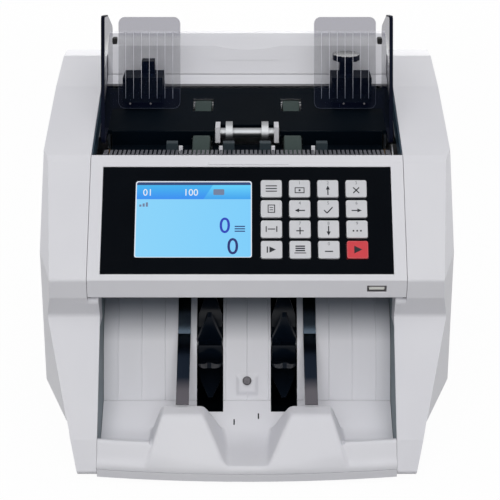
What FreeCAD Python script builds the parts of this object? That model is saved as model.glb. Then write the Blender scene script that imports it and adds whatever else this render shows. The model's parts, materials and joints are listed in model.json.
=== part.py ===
# Banknote counting machine, in millimetres.
# X runs to the right, Y to the back and Z up; the origin is under the middle, on the table.
import FreeCAD, Part
import math
import os

V = FreeCAD.Vector

# Casing sizes
case_width = 295.0
case_depth = 286.0
wall = 2.5
seam = 0.3
foot_height = 3.0
nose_setback = 59.8
nose_z = 129.3
chin_z = 115.4
chin_tuck = 0.8
panel_angle = 51.0
front_slope_length = 88.5
crest_run = 5.0
crest_rise = 3.9
shoulder_run = 82.0
shoulder_angle = 19.5
peak_run = 50.0
peak_rise = 12.2
peak_flat = 22.0
rear_drop = 12.0
leg_front_setback = 6.7
leg_toe_z = 6.0
leg_lip_z = 26.3
leg_lip_setback = 17.1
leg_top_z = 99.4
leg_top_setback = 67.0
leg_depth = 14.0
leg_cheek = 8.0
corner_round = 4.0

# Side cover taper towards the front, and the hand grip under the bulge
chamfer_ratio = 0.69
chamfer_run = 13.0
chamfer_lean = 0.712
taper_ratio = 0.42
taper_run = 21.4
taper_lean = 0.068
grip_z = 44.0
grip_reach = 13.3
grip_rise = 7.0
toe_reach = 5.3
cheek_step = 7.4
stacker_half = 105.0

# Display panel, screen and keys, measured along the sloping panel
panel_width = 206.0
panel_side_margin = 9.4
panel_length = 79.7
panel_low_gap = 4.9
panel_rim = 3.0
panel_rim_depth = 1.5
panel_post_radius = 2.5
screen_width = 83.0
screen_length = 57.4
screen_center_x = -38.0
screen_top_gap = 10.4
screen_lap = 2.0
screen_thickness = 2.4
screen_recess = 1.2
key_columns = 4
key_rows = 4
key_width = 15.0
key_length = 13.0
key_pitch_x = 20.2
key_pitch_y = 15.2
key_first_x = 17.4
key_first_down = 16.8
key_proud = 1.4
key_gap = 0.35
key_flange = 0.8
key_flange_depth = 1.2
key_travel = 1.0
key_round = 1.5
board_drop = 0.6
board_thickness = 1.6
board_margin = 8.0

# Socket in the chin
usb_x = 91.3
usb_width = 13.8
usb_height = 4.8
usb_depth = 14.0
usb_shell = 0.6
usb_tongue = 1.9

# Stacker: chute, tray, stops, ramps and wheels
chute_head_y = -22.0
chute_head_z = 122.0
chute_top_y = -38.0
chute_top_z = 103.0
chute_bend_y = -61.0
chute_bend_z = 77.0
chute_low_y = -79.0
chute_low_z = 32.5
chute_thickness = 2.5
rib_width = 0.9
rib_height = 0.7
rib_edge = 11.0
rib_pitch = 17.0
rib_center_pitch = 15.6
tray_floor_y = -107.0
tray_floor_z = 14.0
tray_rim_z = 9.0
stop_inner_x = 13.4
stop_outer_x = 71.0
stop_top_inner_x = 30.0
stop_top_outer_x = 60.0
stop_top_z = 42.5
stop_top_front_y = -120.0
stop_top_back_y = -105.0
stop_back_y = -96.0
stop_round = 3.0
lip_depth = 3.0
tray_slot_y = -87.0
pad_half = 8.7
pad_height = 1.6
pad_from_bottom = 3.0
pad_length = 16.0
pad_screw_up = 11.2
ramp_x = 45.7
ramp_width = 9.2
ramp_thickness = 1.0
wheel_x = 27.0
wheel_width = 17.3
wheel_radius = 42.0
wheel_rim_width = 3.0
wheel_hub_radius = 17.0
wheel_shoulder_radius = 24.0
wheel_blades = 7
blade_thickness = 2.4
blade_sweep = 38.0
blade_first = 57.0
wheel_slot_gap = 1.0
stacker_y = -45.0
stacker_z = 62.0

# Feed shafts and rollers
pickup_y = 74.5
pickup_z = 199.0
pickup_radius = 16.0
feed_y = 22.0
feed_z = 182.0
feed_radius = 20.0
feed_wheel_x = 34.4
feed_wheel_width = 13.0
tyre_thickness = 4.0
shaft_radius = 4.0
shaft_overhang = 3.4
roller_y = 36.0
roller_z = 201.0
roller_shaft_radius = 3.6
ring_radius = 8.6
ring_width = 5.2
ring_x = 13.6
run_fit = 0.05
bush_radius = 8.0
bush_flange = 1.5
bush_flange_extra = 2.0

# Belt drive on the right of the frame
motor_y = 40.0
motor_z = 110.0
motor_radius = 20.0
motor_length = 46.0
motor_shaft_radius = 2.5
belt_clear = 3.4
belt_width = 5.0
belt_pitch_x = 7.5
belt_thickness = 1.5
belt_gap = 0.3
pulley_flange = 0.8
motor_pulley_radius = 8.0
feed_pulley_radius = 12.0
pickup_pulley_radius = 9.0
stacker_pulley_radius = 16.0

# Frame plates and tie bars
plate_thickness = 1.6
plate_low_z = 12.0
plate_clear = 18.0
plate_rear_y = 118.0
tie_radius = 5.0

# Hopper floor, guides and their carriages
floor_rear_y = 90.6
floor_rear_z = 221.3
floor_angle = 20.0
floor_front_y = 38.0
floor_thickness = 3.0
end_clear = 0.4
floor_cut_half = 25.0
floor_cut_y = 45.0
window_gap = 1.5
feed_pan_z = 191.0
guide_wall_gap = 0.4
guide_sheet = 2.4
guide_front_y = -6.0
guide_front_z = 203.0
guide_height = 89.0
guide_lean = 21.5
guide_length = 55.0
guide_top_fall = 4.0
guide_corner_run = 32.0
guide_corner_drop = 19.5
back_plate_gap = 4.6
back_plate_width = 48.0
back_plate_y = 59.0
back_plate_low_z = 213.6
back_plate_height = 66.0
back_plate_corner = 5.0
back_rib_count = 7
back_rib_pitch = 6.1
back_rib_width = 1.2
back_rib_height = 1.0
back_rib_length = 52.0
back_rib_low = 7.0
web_height = 14.0
bracket_inset = 3.0
bracket_width = 31.0
bracket_low_z = 217.2
bracket_heel_y = 77.0
bracket_top_z = 235.0
post_inset = 22.0
post_y = 88.0
post_width = 10.0
post_top_z = 245.0
neck_y = 91.4
neck_depth = 3.4
neck_inset = 6.0
slide_gap = 0.4
rail_radius = 3.0
rail_front_y = 97.0
rail_pitch_y = 10.0
rail_z = 204.0
block_half_height = 6.0
block_margin = 2.6
rack_height = 4.0
rack_width = 3.0
rack_tail = 9.0
tooth_pitch = 4.0
pinion_teeth = 8
pinion_gap = 0.35
knob_radius = 10.7
knob_height = 4.4
knob_stem_radius = 2.5
knob_flutes = 12
deck_front_y = 95.4
deck_rear_y = 104.5
deck_front_z = 223.6
deck_rear_z = 229.0

# Feed zone in front of the hopper floor
arm_inner_x = 20.5
arm_width = 3.6
arm_front_y = 29.0
arm_rear_y = 53.0
arm_top_z = 207.0
arm_low_z = 195.0
bridge_depth = 6.0
comb_depth = 10.6
comb_gap = 0.7
comb_shelf = 7.0
comb_shelf_height = 2.5
comb_wheel_gap = 1.0
comb_top_z = 200.5
comb_height = 13.0
comb_pitch = 3.2
comb_slot = 1.4
comb_slot_depth = 3.0
comb_post_inner_x = 19.2
comb_post_outer_x = 48.6
comb_post_width = 2.6
comb_post_rise = 2.5
friction_block_x = 55.0
friction_block_inner_x = 13.4
friction_block_width = 8.2
friction_block_rise = 5.0

# Rear cover, rear panel and what they hold
cover_face_top_y = 112.3
cover_face_top_z = 250.6
cover_step_y = 122.0
cover_step_z = 254.0
cover_bar_y = 126.0
cover_bar_z = 257.7
cover_bar_flat = 8.0
cover_rear_z = 244.0
dip_half = 26.0
dip_drop = 3.2
dip_set_back = 1.0
hinge_z = 131.0
knuckle_radius = 2.4
knuckle_length = 18.0
knuckle_x = 70.0
hinge_pin_radius = 1.2
hinge_clear = 0.6
panel_inset = 2.5
panel_screw_inset = 3.0
inlet_x = -78.0
inlet_z = 40.0
inlet_width = 66.0
inlet_height = 30.0
inlet_flange = 2.0
inlet_body_width = 28.0
inlet_body_depth = 24.0
inlet_well_width = 24.0
inlet_well_height = 17.0
inlet_well_depth = 17.0
inlet_pin_gap = 7.0
rocker_x = -46.0
rocker_width = 13.0
rocker_height = 20.0
rocker_depth = 12.0
rocker_tilt = 8.0
rocker_gap = 0.5
vent_count = 9
vent_pitch = 6.0
vent_width = 60.0
vent_height = 2.4
vent_x = 50.0
vent_low_z = 60.0

# Base, feet, boards and supply
base_thickness = 2.5
base_rim = 9.0
foot_radius = 9.0
foot_inset_x = 98.0
foot_front_inset = 31.0
foot_rear_inset = 23.0
main_board_side_gap = 20.0
main_board_supply_gap = 2.0
main_board_rear_gap = 29.0
main_board_length = 60.0
standoff = 10.0
standoff_radius = 3.0
standoff_margin = 6.0
supply_side_gap = 8.0
supply_rear_gap = 27.0
supply_width = 70.0
supply_length = 56.0
supply_height = 34.0
screw_radius = 1.5
screw_head_radius = 3.2
screw_head_height = 2.0
screw_length = 8.0
screw_slot = 0.9
screw_recess = 1.1

# Places worked out from the sizes
half = case_width / 2
front_y = -case_depth / 2
rear_y = case_depth / 2
base_z = foot_height
slope = math.radians(panel_angle)
nose_y = front_y + nose_setback
toe_y = front_y + leg_front_setback
lip_y = front_y + leg_lip_setback
leg_top_y = front_y + leg_top_setback
chin_y = nose_y + chin_tuck
slope_top_y = nose_y + front_slope_length * math.cos(slope)
slope_top_z = nose_z + front_slope_length * math.sin(slope)
crest_y = slope_top_y + crest_run
crest_z = slope_top_z + crest_rise
shoulder_y = crest_y + shoulder_run
shoulder_z = crest_z + shoulder_run * math.tan(math.radians(shoulder_angle))
peak_y = shoulder_y + peak_run
peak_z = shoulder_z + peak_rise
front_cover_half = max(panel_width / 2 + panel_side_margin, stacker_half + cheek_step)
cover_inner_x = front_cover_half + seam
grip_half_width = cover_inner_x + grip_reach
toe_half_width = cover_inner_x + toe_reach
floor_half = front_cover_half - end_clear
cover_half = front_cover_half - end_clear
plate_inner_x = stacker_half
plate_outer_x = stacker_half + plate_thickness
rib_half_spread = stacker_half - rib_edge
shaft_left_end = plate_outer_x + shaft_overhang
belt_first_x = plate_outer_x + belt_clear
guide_inner_x = plate_inner_x - guide_wall_gap
back_plate_outer_x = guide_inner_x - back_plate_gap
back_plate_inner_x = back_plate_outer_x - back_plate_width
bracket_outer_x = back_plate_outer_x - bracket_inset
bracket_inner_x = bracket_outer_x - bracket_width
post_x = back_plate_outer_x - post_inset
main_board_y = rear_y - main_board_rear_gap - main_board_length / 2
supply_x = plate_inner_x - supply_side_gap - supply_width / 2
supply_y = rear_y - supply_rear_gap - supply_length / 2
main_board_left_x = main_board_side_gap - plate_inner_x
main_board_width = supply_x - supply_width / 2 - main_board_supply_gap - main_board_left_x
main_board_x = main_board_left_x + main_board_width / 2
foot_front_y = front_y + foot_front_inset
foot_rear_y = rear_y - foot_rear_inset
floor_rise = math.tan(math.radians(floor_angle))
lean_run = math.tan(math.radians(guide_lean))
pinion_radius = tooth_pitch * pinion_teeth / (2 * math.pi)
pinion_y = rail_front_y + rail_pitch_y / 2
block_front_y = rail_front_y - rail_radius - block_margin
block_rear_y = rail_front_y + rail_pitch_y + rail_radius + block_margin
rack_top_z = rail_z - block_half_height
hinge_y = rear_y - wall
panel_outer_y = rear_y - panel_inset
panel_top_down = panel_low_gap + panel_length
usb_z = (chin_z + nose_z) / 2 + seam
usb_face_y = (chin_y + nose_y) / 2


def floor_height(y):
    """Height of the hopper floor's top face at a depth y."""
    return floor_rear_z - (floor_rear_y - y) * floor_rise


def intersection(p, direction_p, q, direction_q):
    """Crossing point of two lines in a plane, or the first line's point if they are parallel."""
    cross = direction_p[0] * direction_q[1] - direction_p[1] * direction_q[0]
    if abs(cross) < 1e-9:
        return p
    along = ((q[0] - p[0]) * direction_q[1] - (q[1] - p[1]) * direction_q[0]) / cross
    return (p[0] + direction_p[0] * along, p[1] + direction_p[1] * along)


def shifted_line(a, b, distance):
    """The line from a to b, moved to its left."""
    length = math.hypot(b[0] - a[0], b[1] - a[1])
    direction = ((b[0] - a[0]) / length, (b[1] - a[1]) / length)
    return (a[0] - direction[1] * distance, a[1] + direction[0] * distance), direction


def inset_outline(points, distance):
    """Closed outline with every side moved inwards; the points run anticlockwise."""
    count = len(points)
    lines = [shifted_line(points[i], points[(i + 1) % count], distance) for i in range(count)]
    return [intersection(*lines[i - 1], *lines[i]) for i in range(count)]


def sheet_outline(points, thickness):
    """Closed outline of a bent sheet that lies to the left of an open line of points."""
    lines = [shifted_line(a, b, thickness) for a, b in zip(points, points[1:])]
    far = [lines[0][0]]
    far += [intersection(*lines[i - 1], *lines[i]) for i in range(1, len(lines))]
    last, direction = lines[-1]
    run = math.dist(points[-2], points[-1])
    far.append((last[0] + direction[0] * run, last[1] + direction[1] * run))
    return list(points) + far[::-1]


def outline_wire(points, radius, place):
    """Closed wire through the points, with tangent arcs of a radius at its corners."""
    count = len(points)
    cuts = []
    for i in range(count):
        before, corner, after = points[i - 1], points[i], points[(i + 1) % count]
        reach = 0.4 * min(math.dist(before, corner), math.dist(corner, after))
        to_before = math.atan2(before[1] - corner[1], before[0] - corner[0])
        to_after = math.atan2(after[1] - corner[1], after[0] - corner[0])
        opening = abs((to_before - to_after + math.pi) % (2 * math.pi) - math.pi)
        back = min(radius / math.tan(opening / 2), reach) if radius else 0
        start = (corner[0] + back * math.cos(to_before), corner[1] + back * math.sin(to_before))
        end = (corner[0] + back * math.cos(to_after), corner[1] + back * math.sin(to_after))
        inside = back * math.tan(opening / 2)
        middle = ((start[0] + end[0]) / 2 - corner[0], (start[1] + end[1]) / 2 - corner[1])
        depth = math.hypot(*middle)
        touch = math.hypot(back, inside) - inside
        cuts.append((start, end, corner, middle, touch / depth if depth else 0))
    edges = []
    for i in range(count):
        start, end, corner, middle, share = cuts[i]
        if math.dist(start, end) > 1e-6:
            apex = (corner[0] + middle[0] * share, corner[1] + middle[1] * share)
            edges.append(Part.Arc(place(*start), place(*apex), place(*end)).toShape())
        following = cuts[(i + 1) % count][0]
        edges.append(Part.LineSegment(place(*end), place(*following)).toShape())
    return Part.Wire(edges)


def side_prism(points, x0, x1, radius=0):
    """Solid with an outline in the Y-Z plane, from x0 to x1."""
    wire = outline_wire(points, radius, lambda y, z: V(x0, y, z))
    return Part.Face(wire).extrude(V(x1 - x0, 0, 0))


def front_prism(points, y0, y1, radius=0):
    """Solid with an outline in the X-Z plane, from y0 to y1."""
    wire = outline_wire(points, radius, lambda x, z: V(x, y0, z))
    return Part.Face(wire).extrude(V(0, y1 - y0, 0))


def top_prism(points, z0, z1, radius=0):
    """Solid with an outline in the X-Y plane, from z0 to z1."""
    wire = outline_wire(points, radius, lambda x, y: V(x, y, z0))
    return Part.Face(wire).extrude(V(0, 0, z1 - z0))


def rectangle(a0, a1, b0, b1):
    return [(a0, b0), (a1, b0), (a1, b1), (a0, b1)]


def block(x0, x1, y0, y1, z0, z1):
    return Part.makeBox(x1 - x0, y1 - y0, z1 - z0, V(x0, y0, z0))


def rod(x0, x1, y, z, radius):
    """Round bar along X."""
    return Part.makeCylinder(radius, x1 - x0, V(x0, y, z), V(1, 0, 0))


def upright(x, y, z0, z1, radius):
    """Round bar along Z."""
    return Part.makeCylinder(radius, z1 - z0, V(x, y, z0), V(0, 0, 1))


def flat_sided(low, high):
    """Solid between two rings of points, with flat faces."""
    count = len(low)
    loops = [low, high]
    loops += [[low[i], low[(i + 1) % count], high[(i + 1) % count], high[i]] for i in range(count)]
    faces = [Part.Face(Part.makePolygon(loop + loop[:1])) for loop in loops]
    solid = Part.Solid(Part.Shell(faces))
    if solid.Volume < 0:
        solid.reverse()
    return solid


def mirrored(shape):
    """The same piece on the other side of the machine."""
    return shape.mirror(V(0, 0, 0), V(1, 0, 0))


def joined(shapes):
    """One solid from overlapping or touching shapes."""
    return shapes[0].multiFuse(shapes[1:]).removeSplitter()


def save(name, *shapes):
    """Write one node: a single solid, or a group of separate solids."""
    solids = [solid for shape in shapes for solid in shape.Solids]
    for solid in solids:
        if not solid.isValid():
            raise RuntimeError(f"{name} holds a broken solid")
    result = solids[0] if len(solids) == 1 else Part.makeCompound(solids)
    result.exportStep(f"parts/{name}.step")


# The sloping display panel has its own frame: X across, Y up the slope, Z out of the face.
panel_place = FreeCAD.Placement(V(0, nose_y, nose_z), FreeCAD.Rotation(V(1, 0, 0), panel_angle))


def on_panel(shape):
    """Carry a shape from the panel's own frame into the machine's."""
    return shape.transformed(panel_place.toMatrix())


def panel_block(x0, x1, down0, down1, z0, z1, radius=0):
    """Block in the panel's frame; its place down the slope is taken from the panel's top edge."""
    outline = rectangle(x0, x1, panel_top_down - down1, panel_top_down - down0)
    return on_panel(top_prism(outline, z0, z1, radius))


# Casing
side_outline = [
    (rear_y, base_z),
    (rear_y, peak_z - rear_drop),
    (peak_y + peak_flat, peak_z),
    (peak_y, peak_z),
    (shoulder_y, shoulder_z),
    (crest_y, crest_z),
    (slope_top_y, slope_top_z),
    (nose_y, nose_z),
    (chin_y, chin_z),
    (leg_top_y, leg_top_z),
    (lip_y, leg_lip_z),
    (toe_y, leg_toe_z),
    (toe_y + leg_toe_z - base_z, base_z),
]


def leg_outline(rear):
    """Outline of the part of a side cover that closes the side of the stacker."""
    return [
        (leg_top_y + rear, base_z),
        (leg_top_y + rear, chin_z - seam),
        (chin_y, chin_z - seam),
        (leg_top_y, leg_top_z),
        (lip_y, leg_lip_z),
        (toe_y, leg_toe_z),
        (toe_y + leg_toe_z - base_z, base_z),
    ]


def front_taper(inset, ratio, run, lean):
    """Wedge that a bevel takes off the right side cover; it starts a run behind the nose."""
    shift = inset * math.sqrt(1 + ratio ** 2 + (ratio * lean) ** 2)
    edge_x = half - shift
    far_x = half + case_width
    far_y = front_y - case_depth
    rings = []
    for z in (base_z - case_depth, peak_z + case_depth):
        start_y = nose_y + run + lean * (z - nose_z)
        corners = [
            V(edge_x, start_y, z),
            V(edge_x + ratio * (far_y - start_y), far_y, z),
            V(far_x, far_y, z),
            V(far_x, start_y, z),
        ]
        rings.append(corners)
    return flat_sided(*rings)


def grip_cut(inset):
    """The undercut below the side bulge, where fingers reach under."""
    drop = grip_z - grip_rise
    outline = [
        (toe_half_width - inset, base_z - 2 * wall),
        (toe_half_width - inset, base_z),
        (grip_half_width - inset, drop + inset),
        (half - inset / 2, grip_z + inset),
        (half + case_width, grip_z + inset),
        (half + case_width, base_z - 2 * wall),
    ]
    return front_prism(outline, front_y - wall, rear_y + wall)


def side_form(inset, upper_x, lower_x, leg_rear):
    """Outside of the right side cover, or its hollow when it is set in by the wall."""
    rounding = corner_round - inset / 2
    body = side_prism(inset_outline(side_outline, inset), upper_x, half - inset, rounding)
    leg = side_prism(inset_outline(leg_outline(leg_rear), inset), lower_x, upper_x + wall, rounding)
    beside_panel = front_taper(inset, chamfer_ratio, chamfer_run, chamfer_lean)
    beside_legs = front_taper(inset, taper_ratio, taper_run, taper_lean)
    return body.fuse(leg).cut(beside_panel).cut(beside_legs).cut(grip_cut(inset))


def side_cover():
    """Right side cover: an open shell with a wall along the hopper and a cheek under the chin."""
    outside = side_form(0, cover_inner_x, stacker_half, leg_depth)
    hollow = side_form(wall, cover_inner_x - wall, stacker_half - wall, 2 * leg_depth)
    low = floor_height(floor_front_y) - floor_thickness - seam
    wall_outline = [
        (front_y, low),
        (floor_front_y, low),
        (rear_y + wall, floor_height(rear_y + wall) - floor_thickness - seam),
        (rear_y + wall, peak_z + wall),
        (front_y, peak_z + wall),
    ]
    hopper_wall = side_prism(wall_outline, cover_inner_x, cover_inner_x + wall).common(outside)
    cheek = block(stacker_half, stacker_half + wall, front_y, leg_top_y + leg_depth,
                  leg_top_z - leg_cheek, chin_z).common(outside)
    under = block(stacker_half - wall, toe_half_width - wall, toe_y + 2 * wall, rear_y - wall,
                  base_z - wall, base_z + 2 * wall)
    return joined([outside.cut(hollow).cut(under), hopper_wall, cheek])


def front_cover():
    """Nose and sloping front, open at the back, with windows for the panel and the socket."""
    skin = [
        (leg_top_y + 3 * wall, chin_z + wall),
        (chin_y, chin_z),
        (nose_y, nose_z),
        (slope_top_y, slope_top_z),
        (crest_y, crest_z),
        (crest_y + crest_run, crest_z - crest_rise),
    ]
    shell = side_prism(sheet_outline(skin, -wall), -front_cover_half, front_cover_half, corner_round / 4)
    window = panel_block(-panel_width / 2 - seam, panel_width / 2 + seam,
                         -seam, panel_length + seam, -2 * wall, wall)
    socket = block(usb_x - usb_width / 2, usb_x + usb_width / 2, nose_y - wall, nose_y + 2 * wall,
                   usb_z - usb_height / 2, usb_z + usb_height / 2)
    return shell.cut(window).cut(socket)


def key_centers():
    """Row, column and centre of each key, across the panel and down from its top edge."""
    for row in range(key_rows):
        for column in range(key_columns):
            yield row, column, key_first_x + column * key_pitch_x, key_first_down + row * key_pitch_y


def centred_block(x, down, width, length, z0, z1, radius=0):
    """Block on the panel around a centre point."""
    return panel_block(x - width / 2, x + width / 2, down - length / 2, down + length / 2, z0, z1, radius)


flange_top = -wall - key_gap
flange_low = flange_top - key_flange_depth
board_top = flange_low - key_travel - board_drop
screen_center_down = screen_top_gap + screen_length / 2
board_posts = [(sx * (panel_width / 2 - board_margin), down)
               for sx in (-1, 1) for down in (board_margin, panel_length - board_margin)]


def display_bezel():
    """Black panel with a screen window, key holes and posts that carry the board."""
    plate = panel_block(-panel_width / 2, panel_width / 2, 0, panel_length, -wall, 0)
    outer = panel_block(-panel_width / 2 - panel_rim, panel_width / 2 + panel_rim, -panel_rim,
                        panel_length + panel_rim, -wall - panel_rim_depth, -wall)
    inner = panel_block(-panel_width / 2 + panel_rim, panel_width / 2 - panel_rim, panel_rim,
                        panel_length - panel_rim, -2 * wall, wall)
    posts = [on_panel(Part.makeCylinder(panel_post_radius, -board_top,
                                        V(x, panel_top_down - down, board_top)))
             for x, down in board_posts]
    bezel = joined([plate, outer.cut(inner)] + [post.cut(plate) for post in posts])
    window = centred_block(screen_center_x, screen_center_down, screen_width, screen_length,
                           -2 * wall, wall, key_round)
    pocket = centred_block(screen_center_x, screen_center_down, screen_width + 2 * (screen_lap + seam),
                           screen_length + 2 * (screen_lap + seam), -2 * wall, -screen_recess)
    holes = [centred_block(x, down, key_width + 2 * key_gap, key_length + 2 * key_gap,
                           -2 * wall, wall, key_round) for _, _, x, down in key_centers()]
    return bezel.cut(Part.makeCompound(holes)).cut(window).cut(pocket)


def display_screen():
    return centred_block(screen_center_x, screen_center_down, screen_width + 2 * screen_lap,
                         screen_length + 2 * screen_lap, -screen_recess - screen_thickness, -screen_recess)


def key(x, down):
    """Key cap with the flange that holds it behind the panel."""
    cap = centred_block(x, down, key_width, key_length, flange_top, key_proud, key_round)
    top = [edge for edge in cap.Edges
           if all(abs(panel_height(v.Point) - key_proud) < 0.01 for v in edge.Vertexes)]
    cap = cap.makeFillet(key_round / 3, top)
    flange = centred_block(x, down, key_width + 2 * key_flange, key_length + 2 * key_flange,
                           flange_low, flange_top)
    return joined([cap, flange])


def panel_height(point):
    """Distance of a point out of the panel's face."""
    return panel_place.inverse().multVec(point).z


def circuit_boards():
    """Key board behind the panel and main board over the base."""
    keys_board = panel_block(-panel_width / 2 + panel_rim, panel_width / 2 - panel_rim, panel_rim,
                             panel_length - panel_rim, board_top - board_thickness, board_top)
    low = base_z + base_thickness + standoff
    main = block(main_board_x - main_board_width / 2, main_board_x + main_board_width / 2,
                 main_board_y - main_board_length / 2, main_board_y + main_board_length / 2,
                 low, low + board_thickness)
    return keys_board, main


def usb_socket():
    """Metal shell with a tongue inside, just behind the chin."""
    width = usb_width / 2 - seam
    height = usb_height / 2 - seam
    y0 = usb_face_y + usb_shell
    shell = block(usb_x - width, usb_x + width, y0, y0 + usb_depth, usb_z - height, usb_z + height)
    hollow = block(usb_x - width + usb_shell, usb_x + width - usb_shell, y0 - usb_shell,
                   y0 + usb_depth - usb_shell, usb_z - height + usb_shell, usb_z + height - usb_shell)
    tongue = block(usb_x - width + 2 * usb_shell, usb_x + width - 2 * usb_shell, y0 + usb_shell,
                   y0 + usb_depth, usb_z - usb_tongue / 2, usb_z + usb_tongue / 2)
    return joined([shell.cut(hollow), tongue])


# Stacker
chute_slide = [(chute_top_y, chute_top_z), (chute_bend_y, chute_bend_z), (chute_low_y, chute_low_z)]
chute_line = [(chute_head_y, chute_head_z)] + chute_slide
inner_half = stacker_half - seam


def bowed_front(forward, z0, z1):
    """Plan of the front of the base and the tray, bowed outwards in the middle."""
    left = V(-inner_half, toe_y - forward, z0)
    right = V(inner_half, toe_y - forward, z0)
    middle = V(0, front_y - forward, z0)
    edges = [
        Part.Arc(left, middle, right).toShape(),
        Part.LineSegment(right, V(inner_half, 0, z0)).toShape(),
        Part.LineSegment(V(inner_half, 0, z0), V(-inner_half, 0, z0)).toShape(),
        Part.LineSegment(V(-inner_half, 0, z0), left).toShape(),
    ]
    return Part.Face(Part.Wire(edges)).extrude(V(0, 0, z1 - z0))


def wheel_room():
    """Space that the two stacker wheels need."""
    reach = wheel_width / 2 + wheel_slot_gap
    return Part.makeCompound([rod(x - reach, x + reach, stacker_y, stacker_z, wheel_radius + wheel_slot_gap)
                              for x in (-wheel_x, wheel_x)])


def stacker_chute():
    """Bent plate that the notes slide down, with fine ribs, wheel slots and a screw pad."""
    plate = side_prism(sheet_outline(chute_line, chute_thickness), -inner_half, inner_half)
    places = [sx * (rib_half_spread - i * rib_pitch) for sx in (-1, 1) for i in range(3)]
    places += [sx * rib_center_pitch for sx in (-1, 0, 1)]
    rib_outline = sheet_outline(chute_slide, -rib_height)
    ribs = [side_prism(rib_outline, x - rib_width / 2, x + rib_width / 2) for x in places]
    return joined([plate, screw_pad()] + ribs).cut(wheel_room()).cut(chute_hole())


pad_run = math.dist(chute_slide[1], chute_slide[2])
pad_down = ((chute_low_y - chute_bend_y) / pad_run, (chute_low_z - chute_bend_z) / pad_run)
pad_out = (pad_down[1], -pad_down[0])
screw_point = (chute_low_y - pad_down[0] * (pad_from_bottom + pad_screw_up),
               chute_low_z - pad_down[1] * (pad_from_bottom + pad_screw_up))


def screw_pad():
    """Raised pad low on the chute, under the screw."""
    low = (chute_low_y - pad_down[0] * pad_from_bottom, chute_low_z - pad_down[1] * pad_from_bottom)
    high = (low[0] - pad_down[0] * pad_length, low[1] - pad_down[1] * pad_length)
    return side_prism(sheet_outline([high, low], -pad_height), -pad_half, pad_half)


def out_of_chute(distance):
    """Point in front of the screw's place, square to the chute."""
    return V(0, screw_point[0] + pad_out[0] * distance, screw_point[1] + pad_out[1] * distance)


chute_axis = V(0, pad_out[0], pad_out[1])


def chute_hole():
    return Part.makeCylinder(screw_radius + run_fit, screw_length, out_of_chute(pad_height - screw_length),
                             chute_axis)


def screw(seat, axis):
    """Pan head screw with a cross recess; the seat is the underside of its head."""
    stem = Part.makeCylinder(screw_radius, screw_length, seat - axis * screw_length, axis)
    head = Part.makeCylinder(screw_head_radius, screw_head_height, seat, axis)
    rim = [edge for edge in head.Edges if len(edge.Vertexes) == 1
           and (edge.Vertexes[0].Point - seat).dot(axis) > screw_head_height / 2]
    head = head.makeFillet(screw_head_height / 2, rim)
    across = V(1, 0, 0)
    other = axis.cross(across)
    top = seat + axis * (screw_head_height - screw_recess)
    arms = []
    for along, beside in ((across, other), (other, across)):
        start = top - along * screw_head_radius * 0.6 - beside * screw_slot / 2
        face = Part.Face(Part.makePolygon([
            start,
            start + along * screw_head_radius * 1.2,
            start + along * screw_head_radius * 1.2 + beside * screw_slot,
            start + beside * screw_slot,
            start]))
        arms.append(face.extrude(axis * screw_head_height))
    return stem.fuse(head).removeSplitter().cut(Part.makeCompound(arms))


def front_stop():
    """Right one of the two tapered stops that hold the notes' lower edge."""
    wires = []
    for x0, x1, y0, y1, z in (
            (stop_inner_x, stop_outer_x, front_y, stop_back_y, tray_rim_z + wall),
            (stop_top_inner_x, stop_top_outer_x, stop_top_front_y, stop_top_back_y, stop_top_z)):
        wires.append(outline_wire(rectangle(x0, x1, y0, y1), stop_round, lambda x, y: V(x, y, z)))
    return Part.makeLoft(wires, True, True)


def front_bow(x):
    """How far the bowed front stands out at a place across the machine."""
    return (toe_y - front_y) * (1 - (x / inner_half) ** 2)


def tray_lip():
    """Right part of the tray's front wall, from a stop to the side cover."""
    wires = []
    for x in (stop_top_outer_x, inner_half):
        out = front_bow(x)
        profile = [
            (toe_y - out, tray_rim_z),
            (tray_floor_y, tray_rim_z),
            (tray_floor_y, tray_floor_z),
            (lip_y + lip_depth - out, leg_lip_z),
            (lip_y - out, leg_lip_z),
        ]
        ring = [V(x, y, z) for y, z in profile]
        wires.append(Part.makePolygon(ring + ring[:1]))
    return Part.makeLoft(wires, True, True)


def stacker_tray():
    """Tray under the chute with wheel slots, two front stops and a front wall beside them."""
    surface = [(chute_low_y - seam, chute_low_z - seam), (tray_floor_y, tray_floor_z),
               (front_y - wall, tray_floor_z - seam)]
    floor = side_prism(sheet_outline(surface, wall), -inner_half, inner_half)
    reach = wheel_width / 2 + wheel_slot_gap
    slots = [block(x - reach, x + reach, tray_slot_y, 0, tray_rim_z, chute_low_z)
             for x in (-wheel_x, wheel_x)]
    under = block(-inner_half, inner_half, front_y - wall, tray_floor_y + wall,
                  tray_rim_z, tray_floor_z - seam)
    stop = front_stop()
    lip = tray_lip()
    pieces = [floor.cut(Part.makeCompound(slots)), under, stop, mirrored(stop), lip, mirrored(lip)]
    return joined(pieces).common(bowed_front(-seam, tray_rim_z, stop_top_z + wall))


def steel_ramp(x):
    """Polished strip that leads notes from the chute down to a front stop."""
    lifted = [shifted_line(a, b, -seam) for a, b in zip(chute_slide, chute_slide[1:])]
    rest = (stop_top_back_y - ramp_width / 4, stop_top_z + ramp_thickness + seam)
    line = [lifted[0][0], intersection(*lifted[0], *lifted[1]), rest]
    outline = sheet_outline(line, -ramp_thickness)
    return side_prism(outline, x - ramp_width / 2, x + ramp_width / 2)


def wheel_point(radius, angle):
    """Point around the stacker axis; the angle rises from the front."""
    turn = math.radians(angle)
    return stacker_y - radius * math.cos(turn), stacker_z + radius * math.sin(turn)


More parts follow.
